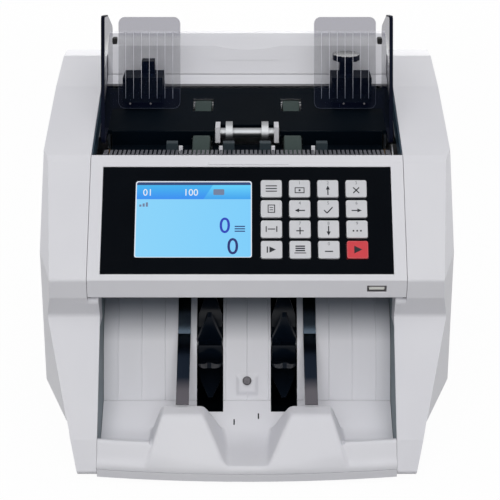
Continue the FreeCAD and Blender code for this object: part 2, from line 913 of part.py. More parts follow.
def wheel_blade(x, tip_angle):
    """One curved vane; its outer end trails, so it points up at the front."""
    half_turn = math.degrees(blade_thickness / 2 / wheel_shoulder_radius)
    root = wheel_hub_radius - blade_thickness / 2
    radii = (root, (root + wheel_radius) / 2, wheel_radius + blade_thickness)
    sides = []
    for turn in (-half_turn, half_turn):
        angles = [tip_angle + turn - blade_sweep * (1 - share) for share in (0, 0.62, 1)]
        sides.append([V(x, *wheel_point(r, a)) for r, a in zip(radii, angles)])
    lower, upper = sides
    edges = [
        Part.Arc(*lower).toShape(),
        Part.LineSegment(lower[2], upper[2]).toShape(),
        Part.Arc(*upper[::-1]).toShape(),
        Part.LineSegment(upper[0], lower[0]).toShape(),
    ]
    return Part.Face(Part.Wire(edges)).extrude(V(wheel_width, 0, 0))


def stacker_wheel(x):
    """Hub with vanes that narrow to a ridge at the rim."""
    left = x - wheel_width / 2
    right = x + wheel_width / 2
    ridge = wheel_rim_width / 2
    section = [(left, 0), (right, 0), (right, wheel_shoulder_radius), (x + ridge, wheel_radius),
               (x - ridge, wheel_radius), (left, wheel_shoulder_radius)]
    wire = outline_wire(section, 0, lambda a, r: V(a, stacker_y, stacker_z + r))
    envelope = Part.Face(wire).revolve(V(0, stacker_y, stacker_z), V(1, 0, 0), 360)
    hub = rod(left, right, stacker_y, stacker_z, wheel_hub_radius)
    blades = [wheel_blade(left, blade_first + i * 360 / wheel_blades) for i in range(wheel_blades)]
    bore = rod(left - wall, right + wall, stacker_y, stacker_z, shaft_radius + run_fit)
    return joined([hub] + blades).common(envelope).cut(bore)


# Frame and drive
def leg_line_y(z):
    """Depth of the frame plate's front edge, just behind the side cover's leg."""
    start, direction = shifted_line((leg_top_y, leg_top_z), (lip_y, leg_lip_z), wall + seam)
    return start[0] + direction[0] * (z - start[1]) / direction[1]


shafts = [(pickup_y, pickup_z), (feed_y, feed_z), (stacker_y, stacker_z)]
tie_places = [
    (crest_y, chin_z + 6 * tie_radius),
    (motor_y + motor_radius, stacker_z),
    (plate_rear_y - 5 * tie_radius, motor_z + 8 * tie_radius),
]
plate_step_z = leg_top_z - leg_cheek - seam


def frame_plate():
    """Right steel plate that carries the shafts, the hopper floor and the guide rails."""
    top_z = rail_z + 2 * block_half_height
    step_y = leg_top_y + leg_depth + seam
    outline = [
        (plate_rear_y, plate_low_z),
        (plate_rear_y, top_z),
        (floor_rear_y, floor_height(floor_rear_y) - floor_thickness),
        (floor_front_y, floor_height(floor_front_y) - floor_thickness),
        (floor_front_y, feed_pan_z - wall),
        (comb_rear_y + comb_shelf, feed_pan_z - wall),
        (crest_y + plate_clear / 2, crest_z - plate_clear / 2),
        (slope_top_y + plate_clear / 2, slope_top_z - plate_clear),
        (step_y, chin_z + plate_clear / 2),
        (step_y, plate_step_z),
        (leg_line_y(plate_step_z), plate_step_z),
        (leg_line_y(leg_lip_z), leg_lip_z),
        (leg_line_y(leg_lip_z), plate_low_z),
    ]
    plate = side_prism(outline, plate_inner_x, plate_outer_x)
    holes = [rod(plate_inner_x - wall, plate_outer_x + wall, y, z, bush_radius) for y, z in shafts]
    return plate.cut(Part.makeCompound(holes))


def motor_hole():
    return rod(plate_inner_x - wall, plate_outer_x + wall, motor_y, motor_z, bush_radius)


def shaft_bush(y, z):
    """Flanged bush in the right frame plate."""
    body = rod(plate_inner_x, plate_outer_x, y, z, bush_radius)
    flange = rod(plate_inner_x - bush_flange, plate_inner_x, y, z, bush_radius + bush_flange_extra)
    bore = rod(plate_inner_x - wall, plate_outer_x + wall, y, z, shaft_radius + run_fit)
    return body.fuse(flange).removeSplitter().cut(bore)


def belt_x(lane):
    return belt_first_x + lane * belt_pitch_x


def pulley(lane, y, z, radius, bore):
    """Flanged belt pulley in one of the belt lanes."""
    x0 = belt_x(lane)
    x1 = x0 + belt_width
    rim = radius + belt_thickness
    body = rod(x0 - belt_gap, x1 + belt_gap, y, z, radius)
    flanges = [rod(x0 - belt_gap - pulley_flange, x0 - belt_gap, y, z, rim),
               rod(x1 + belt_gap, x1 + belt_gap + pulley_flange, y, z, rim)]
    hole = rod(x0 - belt_width, x1 + belt_width, y, z, bore + run_fit)
    return joined([body] + flanges).cut(hole)


def belt_loop(lane, first, first_radius, second, second_radius, grow):
    """Solid inside a belt line around two pulleys."""
    x = belt_x(lane)
    r1 = first_radius + grow
    r2 = second_radius + grow
    heading = math.atan2(second[1] - first[1], second[0] - first[0])
    spread = math.acos((r1 - r2) / math.dist(first, second))

    def around(center, radius, angle):
        return V(x, center[0] + radius * math.cos(angle), center[1] + radius * math.sin(angle))

    a0, a1 = around(first, r1, heading + spread), around(first, r1, heading - spread)
    b0, b1 = around(second, r2, heading + spread), around(second, r2, heading - spread)
    edges = [
        Part.Arc(a0, around(first, r1, heading + math.pi), a1).toShape(),
        Part.LineSegment(a1, b1).toShape(),
        Part.Arc(b1, around(second, r2, heading), b0).toShape(),
        Part.LineSegment(b0, a0).toShape(),
    ]
    return Part.Face(Part.Wire(edges)).extrude(V(belt_width, 0, 0))


def belt(lane, first, first_radius, second, second_radius):
    ends = (first, first_radius, second, second_radius)
    return belt_loop(lane, *ends, belt_gap + belt_thickness).cut(belt_loop(lane, *ends, belt_gap))


def drive_belts():
    motor = (motor_y, motor_z)
    pickup, feed, stacker = shafts
    return [
        belt(0, motor, motor_pulley_radius, feed, feed_pulley_radius),
        belt(1, motor, motor_pulley_radius, stacker, stacker_pulley_radius),
        belt(2, feed, feed_pulley_radius, pickup, pickup_pulley_radius),
    ]


def shaft(y, z, lanes, radius):
    """Steel shaft across both plates, with its pulleys on the right end."""
    end = belt_x(max(lanes)) + belt_width + pulley_flange + 2 * belt_gap
    bar = rod(-shaft_left_end, end, y, z, shaft_radius)
    return [bar] + [pulley(lane, y, z, radius, shaft_radius) for lane in lanes]


def rubber_wheel(x, y, z, radius, width):
    """Rubber tyre on a hub, bored for its shaft."""
    tyre = rod(x - width / 2, x + width / 2, y, z, radius)
    bore = rod(x - width, x + width, y, z, shaft_radius + run_fit)
    rim = [edge for edge in tyre.Edges if len(edge.Vertexes) == 1]
    return tyre.makeFillet(tyre_thickness / 4, rim).cut(bore)


def drive_motor():
    """Motor can on the inner side of the right plate, with its boss through the plate."""
    can = rod(plate_inner_x - motor_length, plate_inner_x, motor_y, motor_z, motor_radius)
    boss = rod(plate_inner_x, plate_outer_x, motor_y, motor_z, bush_radius)
    bore = rod(plate_inner_x - motor_length / 2, plate_outer_x + wall, motor_y, motor_z,
               motor_shaft_radius + run_fit)
    return joined([can, boss]).cut(bore)


def motor_pulley():
    """Motor shaft with the two driving pulleys."""
    end = belt_x(1) + belt_width + pulley_flange + 2 * belt_gap
    bar = rod(plate_inner_x - motor_length / 2 + seam, end, motor_y, motor_z, motor_shaft_radius)
    wheels = [pulley(lane, motor_y, motor_z, motor_pulley_radius, motor_shaft_radius) for lane in (0, 1)]
    return [bar] + wheels


def tie_bars():
    return [rod(-plate_inner_x, plate_inner_x, y, z, tie_radius) for y, z in tie_places]


# Hopper
def hopper_floor():
    """Black floor that slopes down to the feed wheels, with windows for the pickup wheels."""
    front_z = floor_height(floor_front_y)
    outline = [(floor_rear_y, floor_rear_z), (floor_front_y, front_z),
               (floor_front_y, front_z - floor_thickness), (floor_rear_y, floor_rear_z - floor_thickness)]
    plate = side_prism(outline, -floor_half, floor_half)
    pan_half = plate_inner_x - bush_flange - seam
    front_wall = block(-pan_half, pan_half, floor_front_y - wall, floor_front_y, feed_pan_z, front_z)
    feed_pan = block(-pan_half, pan_half, comb_rear_y + comb_shelf + seam, floor_front_y,
                     feed_pan_z - wall, feed_pan_z)
    reach = feed_wheel_width / 2 + window_gap
    windows = [rod(x - reach, x + reach, y, z, radius + window_gap) for x in (-feed_wheel_x, feed_wheel_x)
               for y, z, radius in ((pickup_y, pickup_z, pickup_radius), (feed_y, feed_z, feed_radius))]
    middle = block(-floor_cut_half, floor_cut_half, floor_front_y - 2 * wall, floor_cut_y,
                   feed_pan_z, front_z + floor_cut_half)
    return joined([plate, front_wall, feed_pan]).cut(Part.makeCompound(windows)).cut(middle)


def rear_deck():
    """White strip behind the floor; the guide carriages run in the gap between them."""
    line = [(deck_front_y, deck_front_z), (deck_rear_y, deck_rear_z)]
    return side_prism(sheet_outline(line, -wall), -floor_half, floor_half)


# A back plate has its own frame: X across, Y up the plate, Z out of its front face.
lean_place = FreeCAD.Placement(V(0, back_plate_y, back_plate_low_z),
                               FreeCAD.Rotation(V(1, 0, 0), 90 - guide_lean))
back_plate_length = back_plate_height / math.cos(math.radians(guide_lean))


def leaning(points, z0, z1, radius=0):
    """Solid with an outline in the back plate's own plane."""
    return top_prism(points, z0, z1, radius).transformed(lean_place.toMatrix())


def plate_back_y(z):
    """Depth of the back plate's rear face at a height."""
    return (back_plate_y + (z - back_plate_low_z) * lean_run
            + guide_sheet / math.cos(math.radians(guide_lean)))


def hopper_guide():
    """Right guide: a side plate and a ribbed back plate, joined by a web at the bottom."""
    top_z = guide_front_z + guide_height
    top_y = guide_front_y + guide_height * lean_run
    rear_low_y = plate_back_y(back_plate_low_z)
    outline = [
        (guide_front_y, guide_front_z),
        (rear_low_y, back_plate_low_z),
        (plate_back_y(back_plate_low_z + web_height), back_plate_low_z + web_height),
        (top_y + guide_length, top_z - guide_corner_drop),
        (top_y + guide_length - guide_corner_run, top_z - guide_top_fall),
        (top_y, top_z),
    ]
    side = side_prism(outline, guide_inner_x, guide_inner_x + guide_sheet, back_plate_corner)
    back = leaning(rectangle(back_plate_inner_x, back_plate_outer_x, 0, back_plate_length),
                   -guide_sheet, 0, back_plate_corner)
    web = leaning(rectangle(back_plate_outer_x - back_plate_corner, guide_inner_x + guide_sheet,
                            0, web_height), -guide_sheet, 0)
    middle = (back_plate_inner_x + back_plate_outer_x) / 2
    ribs = []
    for i in range(back_rib_count):
        x = middle + (i - (back_rib_count - 1) / 2) * back_rib_pitch
        ribs.append(leaning(rectangle(x - back_rib_width / 2, x + back_rib_width / 2,
                                      back_rib_low, back_rib_low + back_rib_length), 0, back_rib_height))
    return joined([side, back, web] + ribs)


rack_low_z = rack_top_z - slide_gap - rack_height
tooth_height = tooth_pitch / 4
pinion_root = pinion_radius - tooth_height - pinion_gap


def rack(side):
    """Toothed bar of the right carriage, behind the pinion (1) or in front of it (-1)."""
    pitch_y = pinion_y + side * pinion_radius
    back_y = pitch_y + side * (tooth_height + pinion_gap)
    far_y = back_y + side * rack_width
    bar = block(-rack_tail, bracket_outer_x, min(back_y, far_y), max(back_y, far_y),
                rack_low_z, rack_low_z + rack_height)
    tip_y = pitch_y - side * tooth_height
    teeth = []
    first = -math.floor((rack_tail - tooth_pitch / 4) / tooth_pitch - 0.5)
    count = math.floor((bracket_inner_x - tooth_pitch) / tooth_pitch) - first
    for i in range(count):
        x = (first + i - 0.5) * tooth_pitch
        root = tooth_pitch * 0.2
        tip = tooth_pitch * 0.12
        corners = [(x - root, back_y), (x + root, back_y), (x + tip, tip_y), (x - tip, tip_y)]
        teeth.append(top_prism(corners, rack_low_z, rack_low_z + rack_height))
    foot = block(bracket_inner_x, bracket_outer_x, min(back_y, far_y), max(back_y, far_y),
                 rack_low_z + rack_height, rack_top_z)
    return [bar, foot] + teeth


def carriage(side, knob_bore):
    """Right carriage: sliding block on the rails, neck, bracket, post and rack."""
    slider = block(bracket_inner_x, bracket_outer_x, block_front_y, block_rear_y,
                   rail_z - block_half_height, rail_z + block_half_height)
    bores = [rod(0, half, y, rail_z, rail_radius + run_fit)
             for y in (rail_front_y, rail_front_y + rail_pitch_y)]
    rear = neck_y + neck_depth
    heel_z = bracket_low_z + (rear - bracket_heel_y) * floor_rise
    neck = block(bracket_inner_x + neck_inset, bracket_outer_x - neck_inset, neck_y, rear,
                 rail_z + block_half_height, heel_z)
    head_outline = [
        (plate_back_y(bracket_low_z), bracket_low_z),
        (bracket_heel_y, bracket_low_z),
        (rear, heel_z),
        (rear, bracket_top_z),
        (plate_back_y(bracket_top_z), bracket_top_z),
    ]
    head = side_prism(head_outline, bracket_inner_x, bracket_outer_x)
    post = block(post_x - post_width / 2, post_x + post_width / 2, post_y - post_width / 2,
                 post_y + post_width / 2, bracket_top_z, post_top_z)
    body = joined([slider.cut(Part.makeCompound(bores)), neck, head, post] + rack(side))
    if knob_bore:
        body = body.cut(upright(post_x, post_y, bracket_top_z - wall, post_top_z + wall,
                                knob_stem_radius + run_fit))
    return body


def guide_rails():
    """Two rails between the plates and the bridge that carries the pinion."""
    rear = rail_front_y + rail_pitch_y
    rails = [rod(-plate_inner_x, plate_inner_x, y, rail_z, rail_radius) for y in (rail_front_y, rear)]
    low = rack_top_z + slide_gap
    bridge = block(-pinion_radius, pinion_radius, rail_front_y - rail_radius, rear + rail_radius,
                   low, rail_z + rail_radius)
    stud = upright(0, pinion_y, rack_low_z, low, rail_radius / 2)
    return joined(rails + [bridge, stud])


def guide_pinion():
    """Pinion that makes both guides move by the same amount."""
    disc = upright(0, pinion_y, rack_low_z, rack_low_z + rack_height, pinion_root)
    teeth = []
    for i in range(pinion_teeth):
        tip = pinion_radius + tooth_height - pinion_gap
        corners = [(-tooth_pitch * 0.18, 0), (tooth_pitch * 0.18, 0),
                   (tooth_pitch * 0.1, tip), (-tooth_pitch * 0.1, tip)]
        tooth = top_prism(corners, rack_low_z, rack_low_z + rack_height)
        tooth.translate(V(0, pinion_y, 0))
        tooth.rotate(V(0, pinion_y, 0), V(0, 0, 1), i * 360 / pinion_teeth)
        teeth.append(tooth)
    bore = upright(0, pinion_y, rack_low_z - wall, rack_top_z + wall, rail_radius / 2 + run_fit)
    return joined([disc] + teeth).cut(bore)


def guide_knob():
    """Fluted knob on the right carriage's post."""
    low = post_top_z + seam
    disc = upright(post_x, post_y, low, low + knob_height, knob_radius)
    flutes = []
    for i in range(knob_flutes):
        angle = 2 * math.pi * i / knob_flutes
        flutes.append(upright(post_x + (knob_radius + seam) * math.cos(angle),
                              post_y + (knob_radius + seam) * math.sin(angle),
                              low - wall, low + knob_height + wall, knob_height / 4))
    stem = upright(post_x, post_y, bracket_top_z - wall + seam, low, knob_stem_radius)
    return joined([disc.cut(Part.makeCompound(flutes)), stem])


# Feed zone
comb_front_y = crest_y + crest_run + comb_gap
comb_rear_y = comb_front_y + comb_depth
comb_low_z = comb_top_z - comb_height
shelf_top_z = comb_low_z + comb_shelf_height


def front_comb():
    """Ribbed bar across the front of the hopper, with a shelf behind it."""
    bar = block(-inner_half, inner_half, comb_front_y, comb_rear_y, comb_low_z, comb_top_z)
    shelf = block(-inner_half, inner_half, comb_rear_y, comb_rear_y + comb_shelf, comb_low_z, shelf_top_z)
    count = int(2 * inner_half / comb_pitch) - 1
    slots = []
    for i in range(count):
        x = (i - (count - 1) / 2) * comb_pitch
        slots.append(block(x - comb_slot / 2, x + comb_slot / 2, comb_front_y - wall, comb_rear_y + wall,
                           comb_top_z - comb_slot_depth, comb_top_z + wall))
    reach = feed_wheel_width / 2 + comb_wheel_gap
    feed_room = [rod(x - reach, x + reach, feed_y, feed_z, feed_radius + comb_wheel_gap)
                 for x in (-feed_wheel_x, feed_wheel_x)]
    return joined([bar, shelf]).cut(Part.makeCompound(slots + feed_room))


def friction_blocks():
    """Rubber blocks on the shelf that hold back the notes above."""
    top = comb_top_z + friction_block_rise
    return [block(sx * x - friction_block_width / 2, sx * x + friction_block_width / 2, comb_rear_y,
                  comb_rear_y + comb_shelf - seam, shelf_top_z, top)
            for sx in (-1, 1) for x in (friction_block_inner_x, friction_block_x)]


def separator_bracket():
    """White bracket under the floor that carries the separating roller, and four white posts."""
    arm_outline = [
        (arm_front_y, arm_low_z),
        (arm_rear_y, arm_low_z),
        (arm_rear_y, floor_height(arm_rear_y) - floor_thickness),
        (floor_cut_y, floor_height(floor_cut_y) - floor_thickness),
        (floor_cut_y - seam, floor_height(floor_cut_y) - floor_thickness),
        (floor_cut_y - seam, arm_top_z),
        (arm_front_y, arm_top_z),
    ]
    arms = [side_prism(arm_outline, x, x + arm_width) for x in (arm_inner_x, -arm_inner_x - arm_width)]
    bridge = block(-arm_inner_x, arm_inner_x, arm_rear_y - bridge_depth, arm_rear_y,
                   arm_low_z, arm_low_z + bridge_depth / 2)
    bore = rod(-half, half, roller_y, roller_z, roller_shaft_radius + run_fit)
    posts = [block(sx * x - comb_post_width / 2, sx * x + comb_post_width / 2, comb_rear_y,
                   comb_rear_y + comb_post_width, shelf_top_z, comb_top_z + comb_post_rise)
             for sx in (-1, 1) for x in (comb_post_inner_x, comb_post_outer_x)]
    return [joined(arms + [bridge]).cut(bore)] + posts


def separating_roller():
    """Chrome shaft with two rings that let only one note pass."""
    reach = arm_inner_x + arm_width
    rings = [rod(x - ring_width / 2, x + ring_width / 2, roller_y, roller_z, ring_radius)
             for x in (-ring_x, ring_x)]
    return joined([rod(-reach, reach, roller_y, roller_z, roller_shaft_radius)] + rings)


# Rear
cover_low_z = hinge_z + wall + hinge_clear
rear_panel_top_z = hinge_z - wall - hinge_clear


def finger_dip():
    """Round scoop over the top edge of the rear cover's face, deepest in the middle."""
    edge = V(0, cover_face_top_y, cover_face_top_z)
    down = V(0, deck_rear_y, deck_rear_z) - edge
    low = edge + down * (dip_drop / down.Length)
    strip = V(0, cover_step_y, cover_step_z) - edge
    high = edge + strip * (1 - dip_set_back / strip.Length)
    along = low - high
    outward = V(0, along.z, -along.y).normalize()
    depth = (edge - high).dot(outward)
    radius = (dip_half ** 2 + depth ** 2) / (2 * depth)
    start = high + outward * radius - along * (dip_set_back / 2 / along.Length)
    return Part.makeCylinder(radius, 2 * along.Length, start, along)


def rear_cover():
    """Hinged cover behind the hopper, with a finger dip, end walls and hinge knuckles."""
    skin = [
        (deck_rear_y + 2 * seam, deck_rear_z + seam),
        (cover_face_top_y, cover_face_top_z),
        (cover_step_y, cover_step_z),
        (cover_bar_y, cover_bar_z),
        (cover_bar_y + cover_bar_flat, cover_bar_z),
        (rear_y, cover_rear_z),
        (rear_y, cover_low_z),
    ]
    shell = side_prism(sheet_outline(skin, -wall), -cover_half, cover_half)
    end_outline = skin + [(rear_y - 5 * wall, cover_low_z), (plate_rear_y + 2 * wall, deck_rear_z)]
    ends = [side_prism(end_outline, x, x + wall) for x in (-cover_half, cover_half - wall)]
    half_way = ((deck_rear_y + cover_face_top_y) / 2, (deck_rear_z + cover_face_top_z) / 2)
    doubler = side_prism(sheet_outline([half_way] + skin[1:3], -2 * wall), -dip_half, dip_half)
    pieces = [shell.fuse(doubler).cut(finger_dip())] + ends
    for x in (-knuckle_x, knuckle_x):
        x0 = x - knuckle_length / 2
        x1 = x + knuckle_length / 2
        pieces.append(rod(x0, x1, hinge_y, hinge_z, knuckle_radius))
        pieces.append(rod(x0 - 2 * knuckle_radius, x1 + 2 * knuckle_radius, hinge_y, hinge_z,
                          hinge_pin_radius))
        pieces.append(block(x0, x1, hinge_y, rear_y, hinge_z, cover_low_z + wall).cut(
            rod(x0, x1, hinge_y, hinge_z, hinge_pin_radius)))
    return joined(pieces)


def rear_panel():
    """Fixed lower back with the power module's hole, vents and hinge knuckles."""
    inner_y = panel_outer_y - wall
    plate = block(-cover_half, cover_half, inner_y, panel_outer_y, base_z + base_thickness, rear_panel_top_z)
    pieces = [plate]
    for x in (-knuckle_x, knuckle_x):
        for sx in (-1, 1):
            near = x + sx * (knuckle_length / 2 + seam)
            far = near + sx * 2 * knuckle_radius
            x0, x1 = min(near, far), max(near, far)
            pieces.append(rod(x0, x1, hinge_y, hinge_z, knuckle_radius))
            pieces.append(block(x0, x1, inner_y, hinge_y, rear_panel_top_z - wall, hinge_z))
    bores = [rod(x - knuckle_length, x + knuckle_length, hinge_y, hinge_z, hinge_pin_radius + run_fit)
             for x in (-knuckle_x, knuckle_x)]
    vents = [block(vent_x - vent_width / 2, vent_x + vent_width / 2, inner_y - wall, panel_outer_y + wall,
                   vent_low_z + i * vent_pitch, vent_low_z + i * vent_pitch + vent_height)
             for i in range(vent_count)]
    hole = block(module_x0 + inlet_flange, module_x1 - inlet_flange, inner_y - wall, panel_outer_y + wall,
                 inlet_z - inlet_height / 2 + inlet_flange, inlet_z + inlet_height / 2 - inlet_flange)
    holes = [Part.makeCylinder(screw_radius + run_fit, 4 * wall, V(x, inner_y - wall, z), V(0, 1, 0))
             for x, z in panel_screws]
    return joined(pieces).cut(Part.makeCompound(bores + vents + [hole] + holes))


module_x0 = inlet_x - inlet_body_width / 2 - 2 * inlet_flange
module_x1 = module_x0 + inlet_width
rocker_y = panel_outer_y + inlet_flange / 3
panel_screws = [(sx * (plate_inner_x - panel_screw_inset), z) for sx in (-1, 1)
                for z in (base_z + 8 * wall, rear_panel_top_z - 6 * wall)]


def power_inlet():
    """Power module: a three-pin inlet and the housing of the rocker switch in one flange."""
    z0 = inlet_z - inlet_height / 2
    z1 = inlet_z + inlet_height / 2
    outer = panel_outer_y + inlet_flange
    flange = block(module_x0, module_x1, panel_outer_y, outer, z0, z1)
    body = block(module_x0 + inlet_flange + seam, module_x1 - inlet_flange - seam,
                 outer - inlet_body_depth, panel_outer_y, z0 + inlet_flange + seam, z1 - inlet_flange - seam)
    well = front_prism(rectangle(inlet_x - inlet_well_width / 2, inlet_x + inlet_well_width / 2,
                                 inlet_z - inlet_well_height / 2, inlet_z + inlet_well_height / 2),
                       outer - inlet_well_depth, outer + wall, inlet_flange)
    swing = rocker_height * math.sin(math.radians(rocker_tilt))
    pocket = block(rocker_x - rocker_width / 2 - rocker_gap, rocker_x + rocker_width / 2 + rocker_gap,
                   outer - rocker_depth - swing - inlet_flange, outer + wall,
                   inlet_z - rocker_height / 2 - rocker_gap, inlet_z + rocker_height / 2 + rocker_gap)
    pins = [block(inlet_x + dx - 1, inlet_x + dx + 1, outer - inlet_well_depth, outer - inlet_flange,
                  inlet_z + dz - 2, inlet_z + dz + 2)
            for dx, dz in ((-inlet_pin_gap, -2), (inlet_pin_gap, -2), (0, 2))]
    pivot = rod(rocker_x - rocker_width, rocker_x + rocker_width, rocker_y, inlet_z,
                hinge_pin_radius + run_fit)
    return joined([flange, body]).cut(Part.makeCompound([well, pocket])).cut(pivot).multiFuse(pins)


def power_rocker():
    """Rocker of the switch, at rest with its upper edge pressed in."""
    x0 = rocker_x - rocker_width / 2
    x1 = rocker_x + rocker_width / 2
    face = rocker_y + inlet_flange / 6
    outline = [
        (face - rocker_depth, inlet_z - rocker_height / 5),
        (face - rocker_height / 5, inlet_z - rocker_height / 2 + rocker_gap),
        (face, inlet_z - rocker_height / 2 + rocker_gap),
        (face - rocker_gap, inlet_z),
        (face, inlet_z + rocker_height / 2 - rocker_gap),
        (face - rocker_height / 5, inlet_z + rocker_height / 2 - rocker_gap),
        (face - rocker_depth, inlet_z + rocker_height / 5),
    ]
    body = side_prism(outline, x0, x1)
    axle = rod(x0 - 2 * wall, x1 + 2 * wall, rocker_y, inlet_z, hinge_pin_radius)
    whole = joined([body, axle])
    whole.rotate(V(0, rocker_y, inlet_z), V(1, 0, 0), rocker_tilt)
    return whole


# Base
def base_pan():
    """Floor of the machine with a low rim, a bowed front skirt and board pillars."""
    pan_half = toe_half_width - wall - seam
    y0 = toe_y + 2 * wall + seam
    y1 = rear_y - wall - seam
    top = base_z + base_thickness
    plate = block(-pan_half, pan_half, y0, y1, base_z, top)
    skirt = bowed_front(0, base_z, tray_rim_z - seam)
    hollow = block(-inner_half + wall, inner_half - wall, toe_y + wall, wall, top, tray_rim_z)
    pillars = [upright(main_board_x + sx * (main_board_width / 2 - standoff_margin),
                       main_board_y + sy * (main_board_length / 2 - standoff_margin),
                       top, top + standoff, standoff_radius) for sx in (-1, 1) for sy in (-1, 1)]
    rail = block(plate_inner_x - wall, plate_inner_x, chute_low_y + 2 * wall, plate_rear_y - wall,
                 top, plate_low_z + base_rim)
    holes = [upright(x, y, base_z - wall, top + wall, screw_radius + run_fit) for x, y in base_screws]
    return joined([plate, skirt.cut(hollow), rail, mirrored(rail)] + pillars).cut(Part.makeCompound(holes))


base_screws = [(sx * (foot_inset_x - 2 * foot_radius), y) for sx in (-1, 1)
               for y in (foot_front_y + 4 * foot_radius, foot_rear_y)]


def rubber_feet():
    return [upright(sx * foot_inset_x, y, 0, base_z, foot_radius)
            for sx in (-1, 1) for y in (foot_front_y, foot_rear_y)]


def power_supply():
    """Shielded supply on the base."""
    low = base_z + base_thickness
    return block(supply_x - supply_width / 2, supply_x + supply_width / 2, supply_y - supply_length / 2,
                 supply_y + supply_length / 2, low, low + supply_height)


def screws():
    """Screw of the chute, four of the rear panel and four under the base."""
    group = [screw(out_of_chute(pad_height), chute_axis)]
    group += [screw(V(x, panel_outer_y, z), V(0, 1, 0)) for x, z in panel_screws]
    group += [screw(V(x, y, base_z), V(0, 0, -1)) for x, y in base_screws]
    return group


os.makedirs("parts", exist_ok=True)
right_cover = side_cover()
right_plate = frame_plate()
right_guide = hopper_guide()
stacker_shaft, feed_shaft, pickup_shaft = (
    shaft(stacker_y, stacker_z, [1], stacker_pulley_radius),
    shaft(feed_y, feed_z, [0, 2], feed_pulley_radius),
    shaft(pickup_y, pickup_z, [2], pickup_pulley_radius),
)
right_bushes = [shaft_bush(y, z) for y, z in shafts]
save("right_side_cover", right_cover)
save("left_side_cover", mirrored(right_cover))
save("front_cover", front_cover())
save("display_bezel", display_bezel())
save("display_screen", display_screen())
save("circuit_boards", *circuit_boards())
save("usb_socket", usb_socket())
for row, column, x, down in key_centers():
    save(f"key_row{row + 1}_column{column + 1}", key(x, down))
save("stacker_chute", stacker_chute())
save("stacker_tray", stacker_tray())
save("steel_ramps", steel_ramp(-ramp_x), steel_ramp(ramp_x))
save("stacker_wheels", stacker_wheel(-wheel_x), stacker_wheel(wheel_x))
save("stacker_shaft", *stacker_shaft)
save("feed_shaft", *feed_shaft)
save("feed_wheels", *[rubber_wheel(x, feed_y, feed_z, feed_radius, feed_wheel_width)
                      for x in (-feed_wheel_x, feed_wheel_x)])
save("pickup_shaft", *pickup_shaft)
save("pickup_wheels", *[rubber_wheel(x, pickup_y, pickup_z, pickup_radius, feed_wheel_width)
                        for x in (-feed_wheel_x, feed_wheel_x)])
save("separating_roller", separating_roller())
save("separator_bracket", *separator_bracket())
save("front_comb", front_comb())
save("friction_blocks", *friction_blocks())
save("right_frame_plate", right_plate.cut(motor_hole()))
save("left_frame_plate", mirrored(right_plate))
save("shaft_bushes", *right_bushes, *[mirrored(bush) for bush in right_bushes])
save("tie_bars", *tie_bars())
save("drive_motor", drive_motor())
save("motor_pulley", *motor_pulley())
save("drive_belts", *drive_belts())
save("hopper_floor", hopper_floor())
save("rear_deck", rear_deck())
save("right_guide", right_guide)
save("left_guide", mirrored(right_guide))
save("right_carriage", carriage(1, True))
save("left_carriage", mirrored(carriage(-1, False)))
save("guide_rails", guide_rails())
save("guide_pinion", guide_pinion())
save("guide_knob", guide_knob())
save("rear_cover", rear_cover())
save("rear_panel", rear_panel())
save("power_inlet", power_inlet())
save("power_rocker", power_rocker())
save("power_supply", power_supply())
save("base_pan", base_pan())
save("rubber_feet", *rubber_feet())
save("screws", *screws())
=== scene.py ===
# %% [markdown]
# This lesson dresses a desktop banknote counter. The construction comes as a imported frame of
# separate solids, already at real size. We give every surface its finish, round the moulded edges,
# and add the small printed and pressed details that only the eye needs.

# %% Load the frame and its record
import json
import math

import bmesh
import bpy
from mathutils import Matrix, Vector
from mathutils.bvhtree import BVHTree


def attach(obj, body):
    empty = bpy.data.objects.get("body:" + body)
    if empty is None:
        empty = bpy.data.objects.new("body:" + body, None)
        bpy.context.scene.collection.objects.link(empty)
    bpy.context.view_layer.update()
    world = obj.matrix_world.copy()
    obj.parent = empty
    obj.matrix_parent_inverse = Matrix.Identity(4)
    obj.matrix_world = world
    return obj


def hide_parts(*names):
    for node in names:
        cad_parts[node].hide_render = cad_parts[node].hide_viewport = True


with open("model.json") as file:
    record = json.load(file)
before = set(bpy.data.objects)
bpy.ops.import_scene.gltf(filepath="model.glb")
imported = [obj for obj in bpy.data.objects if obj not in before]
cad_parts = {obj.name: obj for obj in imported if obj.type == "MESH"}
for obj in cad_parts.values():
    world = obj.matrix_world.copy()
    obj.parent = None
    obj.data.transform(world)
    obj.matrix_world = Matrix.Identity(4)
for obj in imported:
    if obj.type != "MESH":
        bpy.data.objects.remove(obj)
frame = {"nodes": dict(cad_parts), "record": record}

MM = 0.001
HERE = Matrix.Identity(4)
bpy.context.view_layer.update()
nodes = frame["nodes"]
record = frame["record"]
slot_of = {part["node"]: part["material_slot"] for part in record["subparts"]}
body_of = {node: body for body, members in record["behaviour"]["bodies"].items() for node in members}

# %% [markdown]
# The camera comes first, because every choice of edge and colour is judged through it. A product
# shot like this one is taken from a little above with a long lens, so upright edges stay nearly
# upright. The values below were found by lining up the corners of the panel and covers.

# %% Camera
LENS = 93.6
SENSOR = 36
EYE = Vector((2.2, -919, 490)) * MM
PITCH = math.radians(68)

camera = bpy.data.objects.new("photo_camera", bpy.data.cameras.new("photo_camera"))
camera.data.lens = LENS
camera.data.sensor_width = SENSOR
camera.location = EYE
camera.rotation_euler = (PITCH, 0, 0)
bpy.context.collection.objects.link(camera)
bpy.context.scene.camera = camera
bpy.context.scene.view_settings.view_transform = "Standard"
print("camera at", [round(value, 3) for value in EYE])

# %% [markdown]
# The studio is a white sweep under soft light. A real photographer would hang a broad cloth box
# over the machine and more in front, with low ones at the sides and behind so that no side is lost.
# A uniform sky could do it alone, but then the stacker under the chin would lose its depth.

